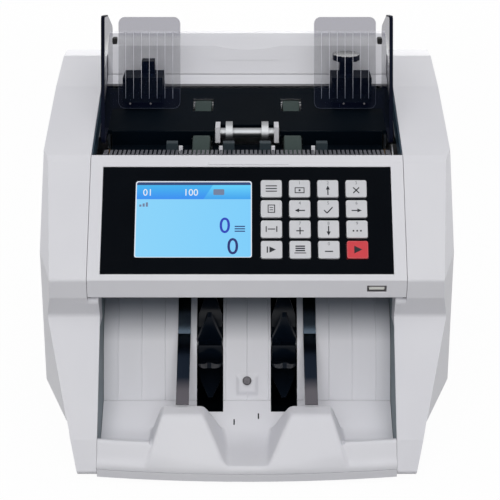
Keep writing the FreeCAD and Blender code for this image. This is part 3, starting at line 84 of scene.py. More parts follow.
# %% Soft boxes
# Each lamp: its place, the height it aims at, its width and height, all in metres, and its watts.
LAMPS = {
    "top_box": ((0, -0.6, 1.6), 0.1, (1.6, 1.2), 7.5),
    "front_box": ((0, -1.6, 1.2), 0.1, (1.8, 0.8), 9.6),
    "low_box": ((0, -2.0, 0.5), 0.1, (1.6, 0.4), 4.0),
    "back_box": ((0, 2.0, 0.7), 0.15, (1.6, 0.8), 10),
    "left_box": ((-1.6, 0.3, 0.7), 0.15, (0.9, 0.9), 4.6),
    "right_box": ((1.6, 0.3, 0.7), 0.15, (0.9, 0.9), 4.6),
}

for name, (place, aim, size, power) in LAMPS.items():
    lamp = bpy.data.objects.new(name, bpy.data.lights.new(name, "AREA"))
    lamp.data.shape = "RECTANGLE"
    lamp.data.size, lamp.data.size_y = size
    lamp.data.energy = power
    lamp.location = place
    lamp.rotation_euler = (Vector((0, 0, aim)) - Vector(place)).to_track_quat("-Z", "Y").to_euler()
    bpy.context.collection.objects.link(lamp)
print("lamps:", ", ".join(LAMPS))

# %% [markdown]
# Every finish is a small tree of nodes, and most trees need the same few moves: put a value or a
# link on a socket, do a sum, blend two colours, fade from one number to another. Writing those as
# short functions keeps the finishes readable.

# %% Node helpers
NOISE_ROUGHNESS = 0.55


def srgb(red, green, blue):
    """Linear colour for a colour written in 0 to 255."""
    def linear(value):
        share = value / 255
        return share / 12.92 if share <= 0.04045 else ((share + 0.055) / 1.055) ** 2.4
    return (linear(red), linear(green), linear(blue), 1)


def plug(tree, thing, socket):
    """Put a plain value, or a link from another node's output, on a socket."""
    if isinstance(thing, bpy.types.NodeSocket):
        tree.links.new(thing, socket)
    else:
        socket.default_value = thing


def add(tree, kind, things=None, **settings):
    """New node with its settings, and with values or links on its inputs."""
    node = tree.nodes.new(kind)
    for name, value in settings.items():
        setattr(node, name, value)
    for name, thing in (things or {}).items():
        plug(tree, thing, node.inputs[name])
    return node


def math_node(tree, operation, *things):
    return add(tree, "ShaderNodeMath", dict(enumerate(things)), operation=operation).outputs[0]


def mix_color(tree, factor, first, second):
    return add(tree, "ShaderNodeMix", {0: factor, 6: first, 7: second}, data_type="RGBA").outputs[2]


def ramp(tree, value, low, high, to_low=0.0, to_high=1.0):
    """Goes straight from one number to another while a value goes from low to high."""
    things = {"Value": value, "From Min": low, "From Max": high, "To Min": to_low, "To Max": to_high}
    return add(tree, "ShaderNodeMapRange", things).outputs[0]


def own_place(tree):
    return add(tree, "ShaderNodeTexCoord").outputs["Object"]


def by_height(tree, low, high):
    """0 below one height in millimetres, 1 above another."""
    place = add(tree, "ShaderNodeSeparateXYZ", {0: own_place(tree)})
    return ramp(tree, place.outputs["Z"], low * MM, high * MM)


def place_noise(tree, scale, detail=2.0, stretch=None):
    """Noise in the piece's own metres; stretch squeezes it along an axis."""
    vector = own_place(tree)
    if stretch:
        vector = add(tree, "ShaderNodeMapping", {"Vector": vector, "Scale": stretch}).outputs[0]
    things = {"Vector": vector, "Scale": scale, "Detail": detail, "Roughness": NOISE_ROUGHNESS}
    return add(tree, "ShaderNodeTexNoise", things).outputs[0]


def finish(name, sockets):
    """New material; sockets makes, in its node tree, what goes on each socket of the shader."""
    material = bpy.data.materials.new(name)
    material.use_nodes = True
    tree = material.node_tree
    for label, thing in sockets(tree).items():
        plug(tree, thing, tree.nodes["Principled BSDF"].inputs[label])
    return material


print("node helpers ready")

# %% [markdown]
# The floor and the sky are plain white to the eye and through clear plastic, but they light the
# machine only gently. Light Path tells those rays apart. Mixing keeps a little of the true
# shading in the floor, so the machine still casts a soft shadow and doesn't float.

# %% Floor and sky
SKY_LOW, SKY_HIGH = 0.12, 0.34
SKY_RISE = 0.5
FLOOR_GREY = (0.35, 0.35, 0.35, 1)
FLOOR_WHITE, FLOOR_GLOW = 0.9, 1.07
FLOOR_REACH = 14.0


def seen_directly(tree):
    """Factor of 1 for rays from the eye, also mirrored in gloss or seen through clear plastic."""
    path = add(tree, "ShaderNodeLightPath").outputs
    clear = math_node(tree, "MAXIMUM", path["Is Camera Ray"], path["Is Transmission Ray"])
    return math_node(tree, "MAXIMUM", clear, path["Is Glossy Ray"])


def studio_floor():
    values = {"Base Color": FLOOR_GREY, "Roughness": 0.9, "Specular IOR Level": 0}
    material = finish("white_sweep", lambda tree: values)
    tree = material.node_tree
    shaded = tree.nodes["Principled BSDF"].outputs[0]
    glow = add(tree, "ShaderNodeEmission", {"Strength": FLOOR_GLOW}).outputs[0]
    share = math_node(tree, "MULTIPLY", seen_directly(tree), FLOOR_WHITE)
    mixed = add(tree, "ShaderNodeMixShader", {0: share, 1: shaded, 2: glow}).outputs[0]
    plug(tree, mixed, tree.nodes["Material Output"].inputs["Surface"])
    mesh = bpy.data.meshes.new("studio_floor")
    corners = [(-1, -1), (1, -1), (1, 1), (-1, 1)]
    mesh.from_pydata([(x * FLOOR_REACH, y * FLOOR_REACH, 0) for x, y in corners], [], [(0, 1, 2, 3)])
    mesh.materials.append(material)
    floor = bpy.data.objects.new("studio_floor", mesh)
    bpy.context.collection.objects.link(floor)


def studio_sky():
    world = bpy.data.worlds.new("studio_sky")
    world.use_nodes = True
    bpy.context.scene.world = world
    tree = world.node_tree
    toward = add(tree, "ShaderNodeSeparateXYZ", {0: add(tree, "ShaderNodeTexCoord").outputs["Generated"]})
    glow = ramp(tree, toward.outputs["Z"], 0.0, SKY_RISE, SKY_LOW, SKY_HIGH)
    background = tree.nodes["Background"].inputs
    background["Color"].default_value = (1, 1, 1, 1)
    plug(tree, ramp(tree, seen_directly(tree), 0.0, 1.0, glow, 1.0), background["Strength"])


studio_floor()
studio_sky()
print("studio: floor and sky")

# %% [markdown]
# Finishes share a few effects, and each effect is a shader node group built once: the fine spark
# grain of a moulding tool, slow drift in tone, paler rubbed edges, dust on upward faces, smears
# on gloss, and the lines a lathe or brush leaves on metal. A group puts out only colours, values
# and heights, and the shader itself stays in each material. The word shared in front of a function
# builds the group at once, from the default inputs and from what the function returns.

# %% Shared effects
GREY, PALE = (0.5, 0.5, 0.5, 1), (0.8, 0.8, 0.8, 1)
DUST_COLOR = (0.55, 0.55, 0.57, 1)
EDGE_RADIUS = 0.8 * MM
EDGE_TURN = (0.998, 0.86)
CLOUDS, UPWARD, TOUCHED = (0.35, 0.65), (0.35, 1.0), (0.48, 0.72)
BROAD, RUBBED_PATCHES, DUST_PATCHES, DUST_GRAINS, WIPES, SPOTS = 28, 60, 45, 900, 14, 75
WIPE_STRETCH, LINE_STRETCH = (1, 3.5, 1), (4, 0.25, 0.25)
PIT_MIDDLE = 0.25


def shared(**defaults):
    """Turns a function into a node group; an input with a default of four numbers is a colour."""
    def build(draw):
        tree = bpy.data.node_groups.new(draw.__name__, "ShaderNodeTree")

        def socket(label, way, is_color):
            kind = "NodeSocketColor" if is_color else "NodeSocketFloat"
            return tree.interface.new_socket(label, in_out=way, socket_type=kind)

        for label, default in defaults.items():
            socket(label, "INPUT", isinstance(default, tuple)).default_value = default
        made = draw(tree, tree.nodes.new("NodeGroupInput").outputs)
        for label in made:
            socket(label, "OUTPUT", label == "Color")
        out = tree.nodes.new("NodeGroupOutput").inputs
        for label, thing in made.items():
            plug(tree, thing, out[label])
        return tree
    return build


def times(tree, first, second):
    return math_node(tree, "MULTIPLY", first, second)


def raised(tree, base, value, share):
    """A base number plus a share of a value."""
    return math_node(tree, "ADD", base, times(tree, value, share))


@shared(Scale=1600, Roughness=0.45, Spread=0.08)
def spark_grain(tree, given):
    """Fine pitted texture of a moulding tool: a height and a matching roughness."""
    fine = place_noise(tree, given["Scale"], 3)
    swing = math_node(tree, "SUBTRACT", times(tree, fine, place_noise(tree, BROAD, 2)), PIT_MIDDLE)
    return {"Height": fine, "Roughness": raised(tree, given["Roughness"], swing, given["Spread"])}


@shared(Color=GREY, Second=GREY, Scale=9)
def tone_drift(tree, given):
    """Slow change of tone over a moulding, between two close colours."""
    cloud = ramp(tree, place_noise(tree, given["Scale"], 3), *CLOUDS)
    return {"Color": mix_color(tree, cloud, given["Color"], given["Second"])}


@shared(Color=GREY, Rubbed=PALE, Amount=0.4)
def rubbed_edges(tree, given):
    """Paler colour along edges, where hands and cloths have polished the piece."""
    rounded = add(tree, "ShaderNodeBevel", {"Radius": EDGE_RADIUS}, samples=4).outputs[0]
    normal = add(tree, "ShaderNodeNewGeometry").outputs["Normal"]
    dot = add(tree, "ShaderNodeVectorMath", {0: rounded, 1: normal}, operation="DOT_PRODUCT")
    edge = ramp(tree, dot.outputs["Value"], *EDGE_TURN)
    mask = times(tree, times(tree, edge, place_noise(tree, RUBBED_PATCHES, 3)), given["Amount"])
    return {"Color": mix_color(tree, mask, given["Color"], given["Rubbed"])}


@shared(Color=GREY, Amount=0.1)
def settled_dust(tree, given):
    """Thin pale dust on faces that look up, in loose patches."""
    normal = add(tree, "ShaderNodeNewGeometry").outputs["Normal"]
    facing = add(tree, "ShaderNodeSeparateXYZ", {0: normal}).outputs["Z"]
    patches = times(tree, place_noise(tree, DUST_PATCHES, 4), place_noise(tree, DUST_GRAINS, 2))
    mask = times(tree, times(tree, ramp(tree, facing, *UPWARD), patches), given["Amount"])
    return {"Color": mix_color(tree, mask, given["Color"], DUST_COLOR)}


@shared(Roughness=0.12, Smear=0.12)
def finger_smears(tree, given):
    """Roughness of a glossy face with faint wiped and touched patches."""
    spots = place_noise(tree, SPOTS, 2)
    both = math_node(tree, "ADD", place_noise(tree, WIPES, 4, WIPE_STRETCH), spots)
    touched = ramp(tree, times(tree, both, 0.5), *TOUCHED)
    return {"Roughness": raised(tree, given["Roughness"], touched, given["Smear"]), "Height": spots}


@shared(Roughness=0.2, Spread=0.1, Scale=350)
def tool_lines(tree, given):
    """Fine lines that a lathe, a grinder or a brush leaves across metal."""
    lines = place_noise(tree, given["Scale"], 3, LINE_STRETCH)
    return {"Height": lines, "Roughness": raised(tree, given["Roughness"], lines, given["Spread"])}


print("effects:", [group.name for group in bpy.data.node_groups])

# %% [markdown]
# Each finish is one Principled shader with effects in front of it. Most of the machine is injection
# moulded plastic, so one recipe takes the colours, the grain and the gloss of each moulding.
# Numbers that are the same all over a surface are set on the shader itself.

# %% Finish helpers
MOULD_DRIFT, METAL_DRIFT = 9.0, 30.0
PIT_SPREAD = 0.16
LINE_DEPTH = 0.004


def effect(tree, group, **things):
    """Place a shared effect, with values or links on its inputs."""
    return add(tree, "ShaderNodeGroup", things, node_tree=group).outputs


def tone(tree, color, second, scale):
    """Drift between two colours that are written in 0 to 255."""
    return effect(tree, tone_drift, Color=srgb(*color), Second=srgb(*second), Scale=scale)["Color"]


def relief(tree, height, depth):
    """Normal of a small relief on the surface, depth in millimetres."""
    return add(tree, "ShaderNodeBump", {"Strength": 1.0, "Distance": depth * MM, "Height": height}).outputs[0]


def moulded(name, color, second, rubbed, roughness, grain, depth, edge=0.35, dust=0.0, specular=0.4,
            height_band=None):
    """Injection moulded plastic; grain is per metre and depth in millimetres."""
    def sockets(tree):
        drift = tone(tree, color, second, MOULD_DRIFT)
        worn = effect(tree, rubbed_edges, Color=drift, Rubbed=srgb(*rubbed), Amount=edge)["Color"]
        shown = effect(tree, settled_dust, Color=worn, Amount=dust)["Color"]
        # A height band puts a colour over the upper part of a piece: painted shade on the chute, a painted
        # highlight on the crest strips.
        if height_band:
            over, low, high = height_band
            shown = mix_color(tree, by_height(tree, low, high), shown, srgb(*over))
        pits = effect(tree, spark_grain, Scale=grain, Roughness=roughness, Spread=PIT_SPREAD)
        return {"Base Color": shown, "Roughness": pits["Roughness"], "Specular IOR Level": specular,
                "Normal": relief(tree, pits["Height"], depth)}
    return finish(name, sockets)


def bare_metal(name, colors, roughness, spread, lines):
    """Metal with tool lines; colors makes its colour in the tree."""
    def sockets(tree):
        cut = effect(tree, tool_lines, Roughness=roughness, Spread=spread, Scale=lines)
        return {"Metallic": 1.0, "Base Color": colors(tree), "Roughness": cut["Roughness"],
                "Normal": relief(tree, cut["Height"], LINE_DEPTH)}
    return finish(name, sockets)


def metal(name, color, second, *cut):
    return bare_metal(name, lambda tree: tone(tree, color, second, METAL_DRIFT), *cut)


print("finish helpers ready")

# %% Moulded, rubber and metal finishes
# A moulding: colour, second colour, rubbed colour, roughness, grain, depth and rubbed share.
# A height band is a colour that takes over between two heights in millimetres.
WHITE = ((222, 222, 227), (218, 218, 224), (238, 238, 240), 0.4, 1500, 0.012, 0.3)
FINISHES = {
    "casing": moulded("casing_plastic", *WHITE),
    # On the chute the height band is painted shade: the top of the chute, under the chin, is darker.
    "chute": moulded("chute_plastic", *WHITE, height_band=((126, 131, 141), 72.0, 95.0)),
    "comb": moulded("comb_plastic", (84, 84, 92), (76, 77, 85), (150, 148, 154), 0.45, 1100, 0.03, 0.8,
                    specular=0.2),
    "black_plastic": moulded("black_plastic", (2, 8, 15), (3, 11, 20), (46, 55, 64), 0.45, 1100, 0.03, 0.25,
                             dust=0.01, specular=0.025),
    "frame_paint": moulded("frame_powder_coat", (112, 124, 130), (104, 117, 124), (165, 170, 172), 0.5, 700,
                           0.03, 0.4, height_band=((24, 31, 38), 150.0, 185.0)),
    # The wheel rubber colour holds painted shade: it is set far darker than pale rubber, for the shade in the
    # hopper.
    "wheel_rubber": moulded("ground_rubber", (56, 68, 66), (49, 61, 59), (84, 98, 95), 0.7, 900, 0.06, 0.3,
                            specular=0.25),
    "grey_rubber": moulded("grey_green_rubber", (38, 50, 56), (33, 44, 50), (66, 80, 86), 0.65, 900, 0.05,
                           0.2, specular=0.25),
    "black_rubber": moulded("black_rubber", (24, 24, 25), (31, 31, 32), (58, 58, 60), 0.75, 700, 0.05, 0.3,
                            dust=0.12, specular=0.25),
    "white_nylon": moulded("white_nylon", (226, 226, 221), (216, 217, 211), (240, 240, 238), 0.45, 1300,
                           0.012, 0.25),
    "key_grey": moulded("key_grey", (206, 207, 211), (201, 202, 207), (240, 240, 242), 0.42, 1900, 0.01, 0.9),
    "key_red": moulded("key_red", (206, 36, 50), (198, 30, 44), (244, 196, 196), 0.4, 1900, 0.01, 0.95),
    "board": moulded("board_solder_mask", (16, 92, 52), (12, 80, 46), (60, 130, 90), 0.3, 500, 0.03, 0.3),
    # Crest strips are painted highlights: pale lines where the clear ribs catch the light, palest at the top.
    "crest_highlight": moulded("crest_painted_highlight", (96, 104, 124), (88, 96, 116), (112, 118, 134), 0.5, 2400, 0.01,
                       height_band=((226, 226, 234), 222.0, 250.0)),
    # The edge band is painted shade along the cut edges of the clear guides.
    "edge": moulded("edge_painted_shade", (6, 10, 24), (9, 14, 30), (40, 46, 70), 0.5, 1200, 0.01, 0.0, specular=0.03),
    "liner": moulded("liner_dark_sheet", (46, 66, 82), (41, 60, 75), (86, 104, 118), 0.4, 900, 0.02, specular=0.2),
    "roller_steel": metal("roller_steel", (158, 160, 162), (147, 149, 152), 0.34, 0.14, 600),
    "dark_steel": metal("dark_steel", (92, 90, 93), (80, 78, 82), 0.32, 0.16, 520),
    "bright_steel": metal("polished_steel", (212, 212, 214), (200, 200, 203), 0.1, 0.1, 380),
    "plain_steel": metal("turned_steel", (188, 189, 192), (172, 173, 177), 0.26, 0.16, 520),
    "bush_brass": metal("bush_brass", (92, 72, 44), (80, 61, 37), 0.4, 0.14, 500),
}
# Heights of the painted reflection on the ramps, in millimetres.
RAMP_BRIGHT, RAMP_DARK = (51.0, 57.0), (72.0, 79.0)


def ramp_reflection_colors(tree):
    """Painted reflection: dark between two heights, where the inside of the machine would show in the steel.
    """
    high = tone(tree, (66, 76, 86), (58, 68, 78), METAL_DRIFT)
    middle = tone(tree, (17, 22, 30), (13, 18, 26), METAL_DRIFT)
    low = tone(tree, (64, 62, 66), (58, 56, 60), METAL_DRIFT)
    lower = mix_color(tree, by_height(tree, *RAMP_BRIGHT), low, middle)
    return mix_color(tree, by_height(tree, *RAMP_DARK), lower, high)


FINISHES["ramp_steel"] = bare_metal("ramp_steel", ramp_reflection_colors, 0.12, 0.1, 380)
print("finishes:", ", ".join(sorted(FINISHES)))

# %% [markdown]
# The display panel is a sheet of hard gloss plastic, and so are the stacker wheels. A gloss face
# needs very little colour of its own. What sells it is a clear reflection, broken by a few wiped
# and touched patches where the gloss turns dull.

# %% Gloss black finish
GLOSS_DRIFT = 14.0
GLOSS_DUST, GLOSS_EDGE = 0.015, 0.3
GLOSS_RUBBED = srgb(70, 74, 82)
TOUCH_DEPTH = 0.002


def gloss_black(name, color, second, roughness, smear, specular):
    def sockets(tree):
        drift = tone(tree, color, second, GLOSS_DRIFT)
        dusty = effect(tree, settled_dust, Color=drift, Amount=GLOSS_DUST)["Color"]
        worn = effect(tree, rubbed_edges, Color=dusty, Rubbed=GLOSS_RUBBED, Amount=GLOSS_EDGE)
        touched = effect(tree, finger_smears, Roughness=roughness, Smear=smear)
        return {"Base Color": worn["Color"], "Roughness": touched["Roughness"],
                "Specular IOR Level": specular, "Normal": relief(tree, touched["Height"], TOUCH_DEPTH)}
    return finish(name, sockets)


FINISHES["panel_gloss"] = gloss_black("panel_gloss", (1, 4, 10), (2, 6, 13), 0.14, 0.16, 0.015)
FINISHES["wheel_gloss"] = gloss_black("wheel_gloss", (7, 14, 23), (10, 18, 28), 0.16, 0.2, 0.08)
print("gloss finishes for panel and wheels")

# %% [markdown]
# The two hopper guides are smoky clear plastic, about 2.4 mm thick. A refracting shader could be
# used, but plates this flat and thin hardly bend what is behind them, and light that has to find
# its way through refraction leaves bright specks on the black carriages. So each face of a plate
# holds back a share of the light, a little more where it has been touched and most above about
# 264 mm, where the plate also turns violet.

# %% Smoky clear finish
SMOKE_LOW, SMOKE_HIGH, SMOKE_TOP = 0.16, 0.19, 0.36
SMOKE_FROM, SMOKE_TO = 264.0, 270.0
SMOKE_VIOLET = srgb(34, 26, 92)
SMOKE_DRIFT = 12.0


def smoky_clear(tree):
    top = by_height(tree, SMOKE_FROM, SMOKE_TO)
    drift = tone(tree, (24, 30, 54), (20, 26, 48), SMOKE_DRIFT)
    touched = effect(tree, finger_smears, Roughness=0.3, Smear=0.2)
    held = ramp(tree, touched["Height"], *CLOUDS, SMOKE_LOW, SMOKE_HIGH)
    return {"Base Color": mix_color(tree, top, drift, SMOKE_VIOLET), "Roughness": touched["Roughness"],
            "Alpha": ramp(tree, top, 0.0, 1.0, held, SMOKE_TOP), "Specular IOR Level": 0.0}


FINISHES["smoky_clear"] = finish("smoky_clear", smoky_clear)
print("clear:", FINISHES["smoky_clear"].name)

# %% [markdown]
# The screen is a lit display behind a window in the panel. A picture file could be laid on it, but
# a few bands of colour are easy to draw with nodes: we turn the point being shaded into
# millimetres across and up the sloping panel, and compare those with the band edges.

# %% Lit screen finish
PANEL_TILT = math.radians(51)
PANEL_FOOT = Vector((0, -83.2, 129.3)) * MM
PANEL = Matrix.Translation(PANEL_FOOT) @ Matrix.Rotation(PANEL_TILT, 4, "X")
SCREEN_LEFT, SCREEN_RIGHT, SCREEN_LOW, SCREEN_TOP = -79.5, 3.5, 16.8, 74.2
SCREEN_FACE = -1.2
HEADER_TOP = SCREEN_TOP - 2.8
HEADER_LOW = HEADER_TOP - 10.9
BREAK_X, BREAK_SOFT, BREAK_LEAN = -31.5, 0.8, 0.62
BAND_SOFT, STRIP_LOW, STRIP_HIGH = 0.3, HEADER_TOP - 0.2, HEADER_TOP + 0.1
DOTS, DOT_SHARE = 5200, 0.1
LIT_SPECULAR, LIT_SMEAR = 0.2, 0.1


def panel_millimetres(tree):
    """Where a point lies across and up the panel, in millimetres."""
    things = {"Vector": own_place(tree), "Center": PANEL_FOOT, "Axis": (1, 0, 0), "Angle": -PANEL_TILT}
    turn = add(tree, "ShaderNodeVectorRotate", things, rotation_type="AXIS_ANGLE")
    split = add(tree, "ShaderNodeSeparateXYZ", {0: turn.outputs[0]}).outputs
    up = math_node(tree, "SUBTRACT", split["Y"], PANEL_FOOT.y)
    return math_node(tree, "DIVIDE", split["X"], MM), math_node(tree, "DIVIDE", up, MM)


def screen_picture(tree):
    """Sky below, a header band that breaks along a slanted line, and a navy strip on top."""
    across, up = panel_millimetres(tree)
    sideways = ramp(tree, across, SCREEN_LEFT, SCREEN_RIGHT)
    sky = mix_color(tree, sideways, srgb(138, 216, 254), srgb(124, 210, 255))
    rise = ramp(tree, up, HEADER_LOW, HEADER_TOP)
    left_band = mix_color(tree, rise, srgb(26, 134, 244), srgb(52, 182, 242))
    right_band = mix_color(tree, rise, srgb(40, 158, 240), srgb(96, 214, 255))
    lean = times(tree, math_node(tree, "SUBTRACT", up, HEADER_LOW), BREAK_LEAN)
    past = ramp(tree, math_node(tree, "SUBTRACT", across, lean), BREAK_X, BREAK_X + BREAK_SOFT)
    band = mix_color(tree, past, left_band, right_band)
    picture = mix_color(tree, ramp(tree, up, HEADER_LOW, HEADER_LOW + BAND_SOFT), sky, band)
    picture = mix_color(tree, ramp(tree, up, STRIP_LOW, STRIP_HIGH), picture, srgb(4, 36, 96))
    dots = times(tree, place_noise(tree, DOTS, 1), DOT_SHARE)
    return mix_color(tree, dots, picture, srgb(80, 170, 230))


def lit(name, strength, base, picture, roughness):
    """Display surface that gives off a picture; picture makes its colour in the tree."""
    def sockets(tree):
        touched = effect(tree, finger_smears, Roughness=roughness, Smear=LIT_SMEAR)
        return {"Emission Color": picture(tree), "Emission Strength": strength, "Base Color": srgb(*base),
                "Roughness": touched["Roughness"], "Specular IOR Level": LIT_SPECULAR}
    return finish(name, sockets)


FINISHES["screen"] = lit("lit_screen", 0.92, (12, 22, 40), screen_picture, 0.14)
print("screen window", round(SCREEN_RIGHT - SCREEN_LEFT, 1), "by", round(SCREEN_TOP - SCREEN_LOW, 1), "mm")

# %% [markdown]
# Now every solid of the frame takes the finish of its slot in the record. A few nodes get
# a finish of their own: gloss blacks, the darker steel of the ramps, screws and socket.

# %% Dress the frame
SPECIAL = {
    "display_bezel": "panel_gloss",
    "stacker_wheels": "wheel_gloss",
    "guide_knob": "wheel_gloss",
    "steel_ramps": "ramp_steel",
    "screws": "dark_steel",
    "usb_socket": "dark_steel",
    "separating_roller": "roller_steel",
    "front_comb": "comb",
}


def finish_of(node):
    return FINISHES[SPECIAL.get(node, slot_of[node])]


for name, thing in nodes.items():
    thing.data.materials.clear()
    thing.data.materials.append(finish_of(name))
print("dressed", len(nodes), "nodes")

# %% [markdown]
# Real mouldings never have knife edges: every outer corner carries a radius so the tool can be cut
# and hands don't catch. The frame's solids are crisp, so the casing pieces are copied here, their
# flat triangles merged back into faces, and their outer edges rounded with a bevel. Weighted
# normals then keep the big faces flat in the light while the rounds stay smooth.

# %% Piece helpers
SMOOTH_TO = math.radians(32)


def piece(name, mesh, body, material):
    """Scene object for a mesh in the frame's place, riding on a body."""
    mesh.materials.clear()
    mesh.materials.append(material)
    thing = bpy.data.objects.new(name, mesh)
    bpy.context.collection.objects.link(thing)
    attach(thing, body)
    return thing


def mesh_from(name, form, smooth=True):
    """Finish a bmesh: outward faces, smooth shading with true creases."""
    bmesh.ops.recalc_face_normals(form, faces=form.faces)
    mesh = bpy.data.meshes.new(name)
    form.to_mesh(mesh)
    form.free()
    if smooth:
        mesh.polygons.foreach_set("use_smooth", [True] * len(mesh.polygons))
        mesh.set_sharp_from_angle(angle=SMOOTH_TO)
    return mesh


def drawn(name, body, slot, draw, place=HERE, look=None, smooth=True):
    """Piece from a function that draws into an empty form; its finish is a look, or else its slot's."""
    form = bmesh.new()
    draw(form)
    form.transform(place)
    return piece(name, mesh_from(name, form, smooth), body, FINISHES[look or slot])


print("piece helpers ready")

# %% Softened casing pieces
SHARP, FLAT = math.radians(20), math.radians(0.6)
SAME_POINT = 2e-6
OFF_EDGE = 0.2 * MM
COVER_EDGE, SHELL_FOOT = 113.4, 4.0


def whole_faces(node):
    """Bmesh of a node with its triangles merged back into whole faces."""
    form = bmesh.new()
    form.from_mesh(nodes[node].data)
    bmesh.ops.remove_doubles(form, verts=form.verts, dist=SAME_POINT)
    bmesh.ops.dissolve_limit(form, angle_limit=FLAT, verts=form.verts, edges=form.edges)
    return form


def outer_edges(form):
    """Convex edges that face open air, not the inside of the shell."""
    tree = BVHTree.FromBMesh(form)
    found = []
    for edge in form.edges:
        if not edge.is_manifold or not edge.is_convex or edge.calc_face_angle(0) < SHARP:
            continue
        out = (edge.link_faces[0].normal + edge.link_faces[1].normal).normalized()
        middle = (edge.verts[0].co + edge.verts[1].co) / 2
        if tree.ray_cast(middle + out * OFF_EDGE, out)[0] is None:
            found.append(edge)
    return found


def round_edges(form, edges, radius, steps):
    """Bevel some edges to a radius in millimetres."""
    bmesh.ops.bevel(form, geom=edges, offset=radius * MM, offset_type="OFFSET", segments=steps,
                    profile=0.5, affect="EDGES", clamp_overlap=True)


def softened(name, node, rounds):
    """Copy of a node with rounded outer edges; rounds are (radius, steps, test of an edge)."""
    form = whole_faces(node)
    for radius, steps, wanted in rounds:
        round_edges(form, [edge for edge in outer_edges(form) if wanted(edge)], radius, steps)
    thing = piece(name, mesh_from(name, form), body_of[node], finish_of(node))
    thing.modifiers.new("flat_faces", "WEIGHTED_NORMAL").keep_sharp = True
    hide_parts(node)
    print(name, len(thing.data.polygons), "faces")


def on_cover_outside(edge):
    return all(abs(vert.co.x) > COVER_EDGE * MM and vert.co.z > SHELL_FOOT * MM for vert in edge.verts)


def anywhere(edge):
    return True


SIDE_ROUNDS = [(3.2, 5, on_cover_outside), (0.6, 2, anywhere)]
FRONT_ROUNDS, REAR_ROUNDS = [(0.7, 3, anywhere)], [(1.2, 4, anywhere)]

for side in ("left", "right"):
    softened(f"{side}_cover_shell", f"{side}_side_cover", SIDE_ROUNDS)
softened("front_cover_shell", "front_cover", FRONT_ROUNDS)
softened("rear_cover_shell", "rear_cover", REAR_ROUNDS)

# %% [markdown]
# The sixteen keys are small caps with a soft rim. Each cap is a copy of its solid with the top edge
# rounded, so the light draws the pale border that keys show. A cap rides on its own body, because
# each key can be pressed.

# %% Key caps
KEY_TOP, TOP_SLACK = 1.4, 0.05
KEY_FIRST_X, KEY_PITCH_X = 17.4, 20.2
KEY_FIRST_UP, KEY_PITCH_UP = 67.8, 15.2
into_panel = PANEL.inverted()


def on_key_top(edge):
    """Edge of the cap's top face."""
    return all((into_panel @ vert.co).z > (KEY_TOP - TOP_SLACK) * MM for vert in edge.verts)


KEY_ROUNDS = [(0.75, 4, on_key_top)]
keys = {f"row{row + 1}_column{column + 1}": (row, column) for row in range(4) for column in range(4)}
for key in keys:
    softened(f"cap_{key}", f"key_{key}", KEY_ROUNDS)

# %% [markdown]
# Key marks are printed ink. They could be drawn in the material, but flat little solids keep sharp
# edges at any distance and export as real shapes. Digits come from the built-in font, and the
# other marks are plain pictograms: arrows, bars, a tick, a cross.

# %% Flat solids
def skin(form, loops):
    """Faces between each loop of points and the next; a loop of one point is a tip."""
    count = max(len(loop) for loop in loops)
    for a, b in zip(loops, loops[1:]):
        for i in range(count):
            j = (i + 1) % count
            corners = [a[i % len(a)], a[j % len(a)], b[j % len(b)], b[i % len(b)]]
            form.faces.new(list(dict.fromkeys(corners)))


def flat_loop(form, outline, height, matrix=HERE):
    """New points over an outline, at a height, all in millimetres."""
    return [form.verts.new(matrix @ Vector((x * MM, y * MM, height * MM))) for x, y in outline]


def prism(form, outline, low, high):
    """Closed flat solid over an outline in millimetres, between two heights."""
    loops = [flat_loop(form, outline, height) for height in (low, high)]
    skin(form, loops)
    for loop in loops:
        form.faces.new(loop)


def ring(form, outer, inner, low, high):
    """Closed band between two outlines that have as many points."""
    corners = ((outer, low), (inner, low), (inner, high), (outer, high))
    loops = [flat_loop(form, outline, height) for outline, height in corners]
    skin(form, loops + loops[:1])


print("flat solids ready")

# %% Digits and pictograms
DIGIT_BOLD = 0.005


def digits(form, characters, height, center, low, high):
    """Digits of a height in millimetres, centred on a point, as closed solids."""
    curve = bpy.data.curves.new("digits", "FONT")
    curve.body = characters
    curve.fill_mode = "BOTH"
    curve.extrude = 0.5
    curve.offset = DIGIT_BOLD
    curve.resolution_u = 6
    maker = bpy.data.objects.new("digits", curve)
    bpy.context.collection.objects.link(maker)
    bpy.context.view_layer.update()
    mesh = bpy.data.meshes.new_from_object(maker.evaluated_get(bpy.context.evaluated_depsgraph_get()))
    low_corner = Vector([min(vert.co[i] for vert in mesh.vertices) for i in range(3)])
    high_corner = Vector([max(vert.co[i] for vert in mesh.vertices) for i in range(3)])
    scale = height * MM / (high_corner.y - low_corner.y)
    middle = (low_corner + high_corner) / 2
    for vert in mesh.vertices:
        lift = (high if vert.co.z > middle.z else low) * MM
        vert.co = Vector(((vert.co.x - middle.x) * scale + center[0] * MM,
                          (vert.co.y - middle.y) * scale + center[1] * MM, lift))
    form.from_mesh(mesh)
    bpy.data.objects.remove(maker)
    bpy.data.meshes.remove(mesh)


def turned(outline, quarter_turns):
    """Outline turned anticlockwise by quarter turns."""
    for _ in range(quarter_turns):
        outline = [(-y, x) for x, y in outline]
    return outline


def bar(width, height, dx=0.0, dy=0.0):
    corners = [(-1, -1), (1, -1), (1, 1), (-1, 1)]
    return [(dx + x * width / 2, dy + y * height / 2) for x, y in corners]


def box(width, height, line=0.5):
    """Four bars around a rectangle."""
    x, y = (width - line) / 2, (height - line) / 2
    flat = [bar(width, line, 0, dy) for dy in (y, -y)]
    return flat + [bar(line, height - 2 * line, dx) for dx in (-x, x)]


def slanted(a, b, width=0.65):
    """Straight stroke from a to b."""
    a, b = Vector(a), Vector(b)
    side = Vector((a.y - b.y, b.x - a.x)).normalized() * width / 2
    return [tuple(point) for point in (a - side, b - side, b + side, a + side)]


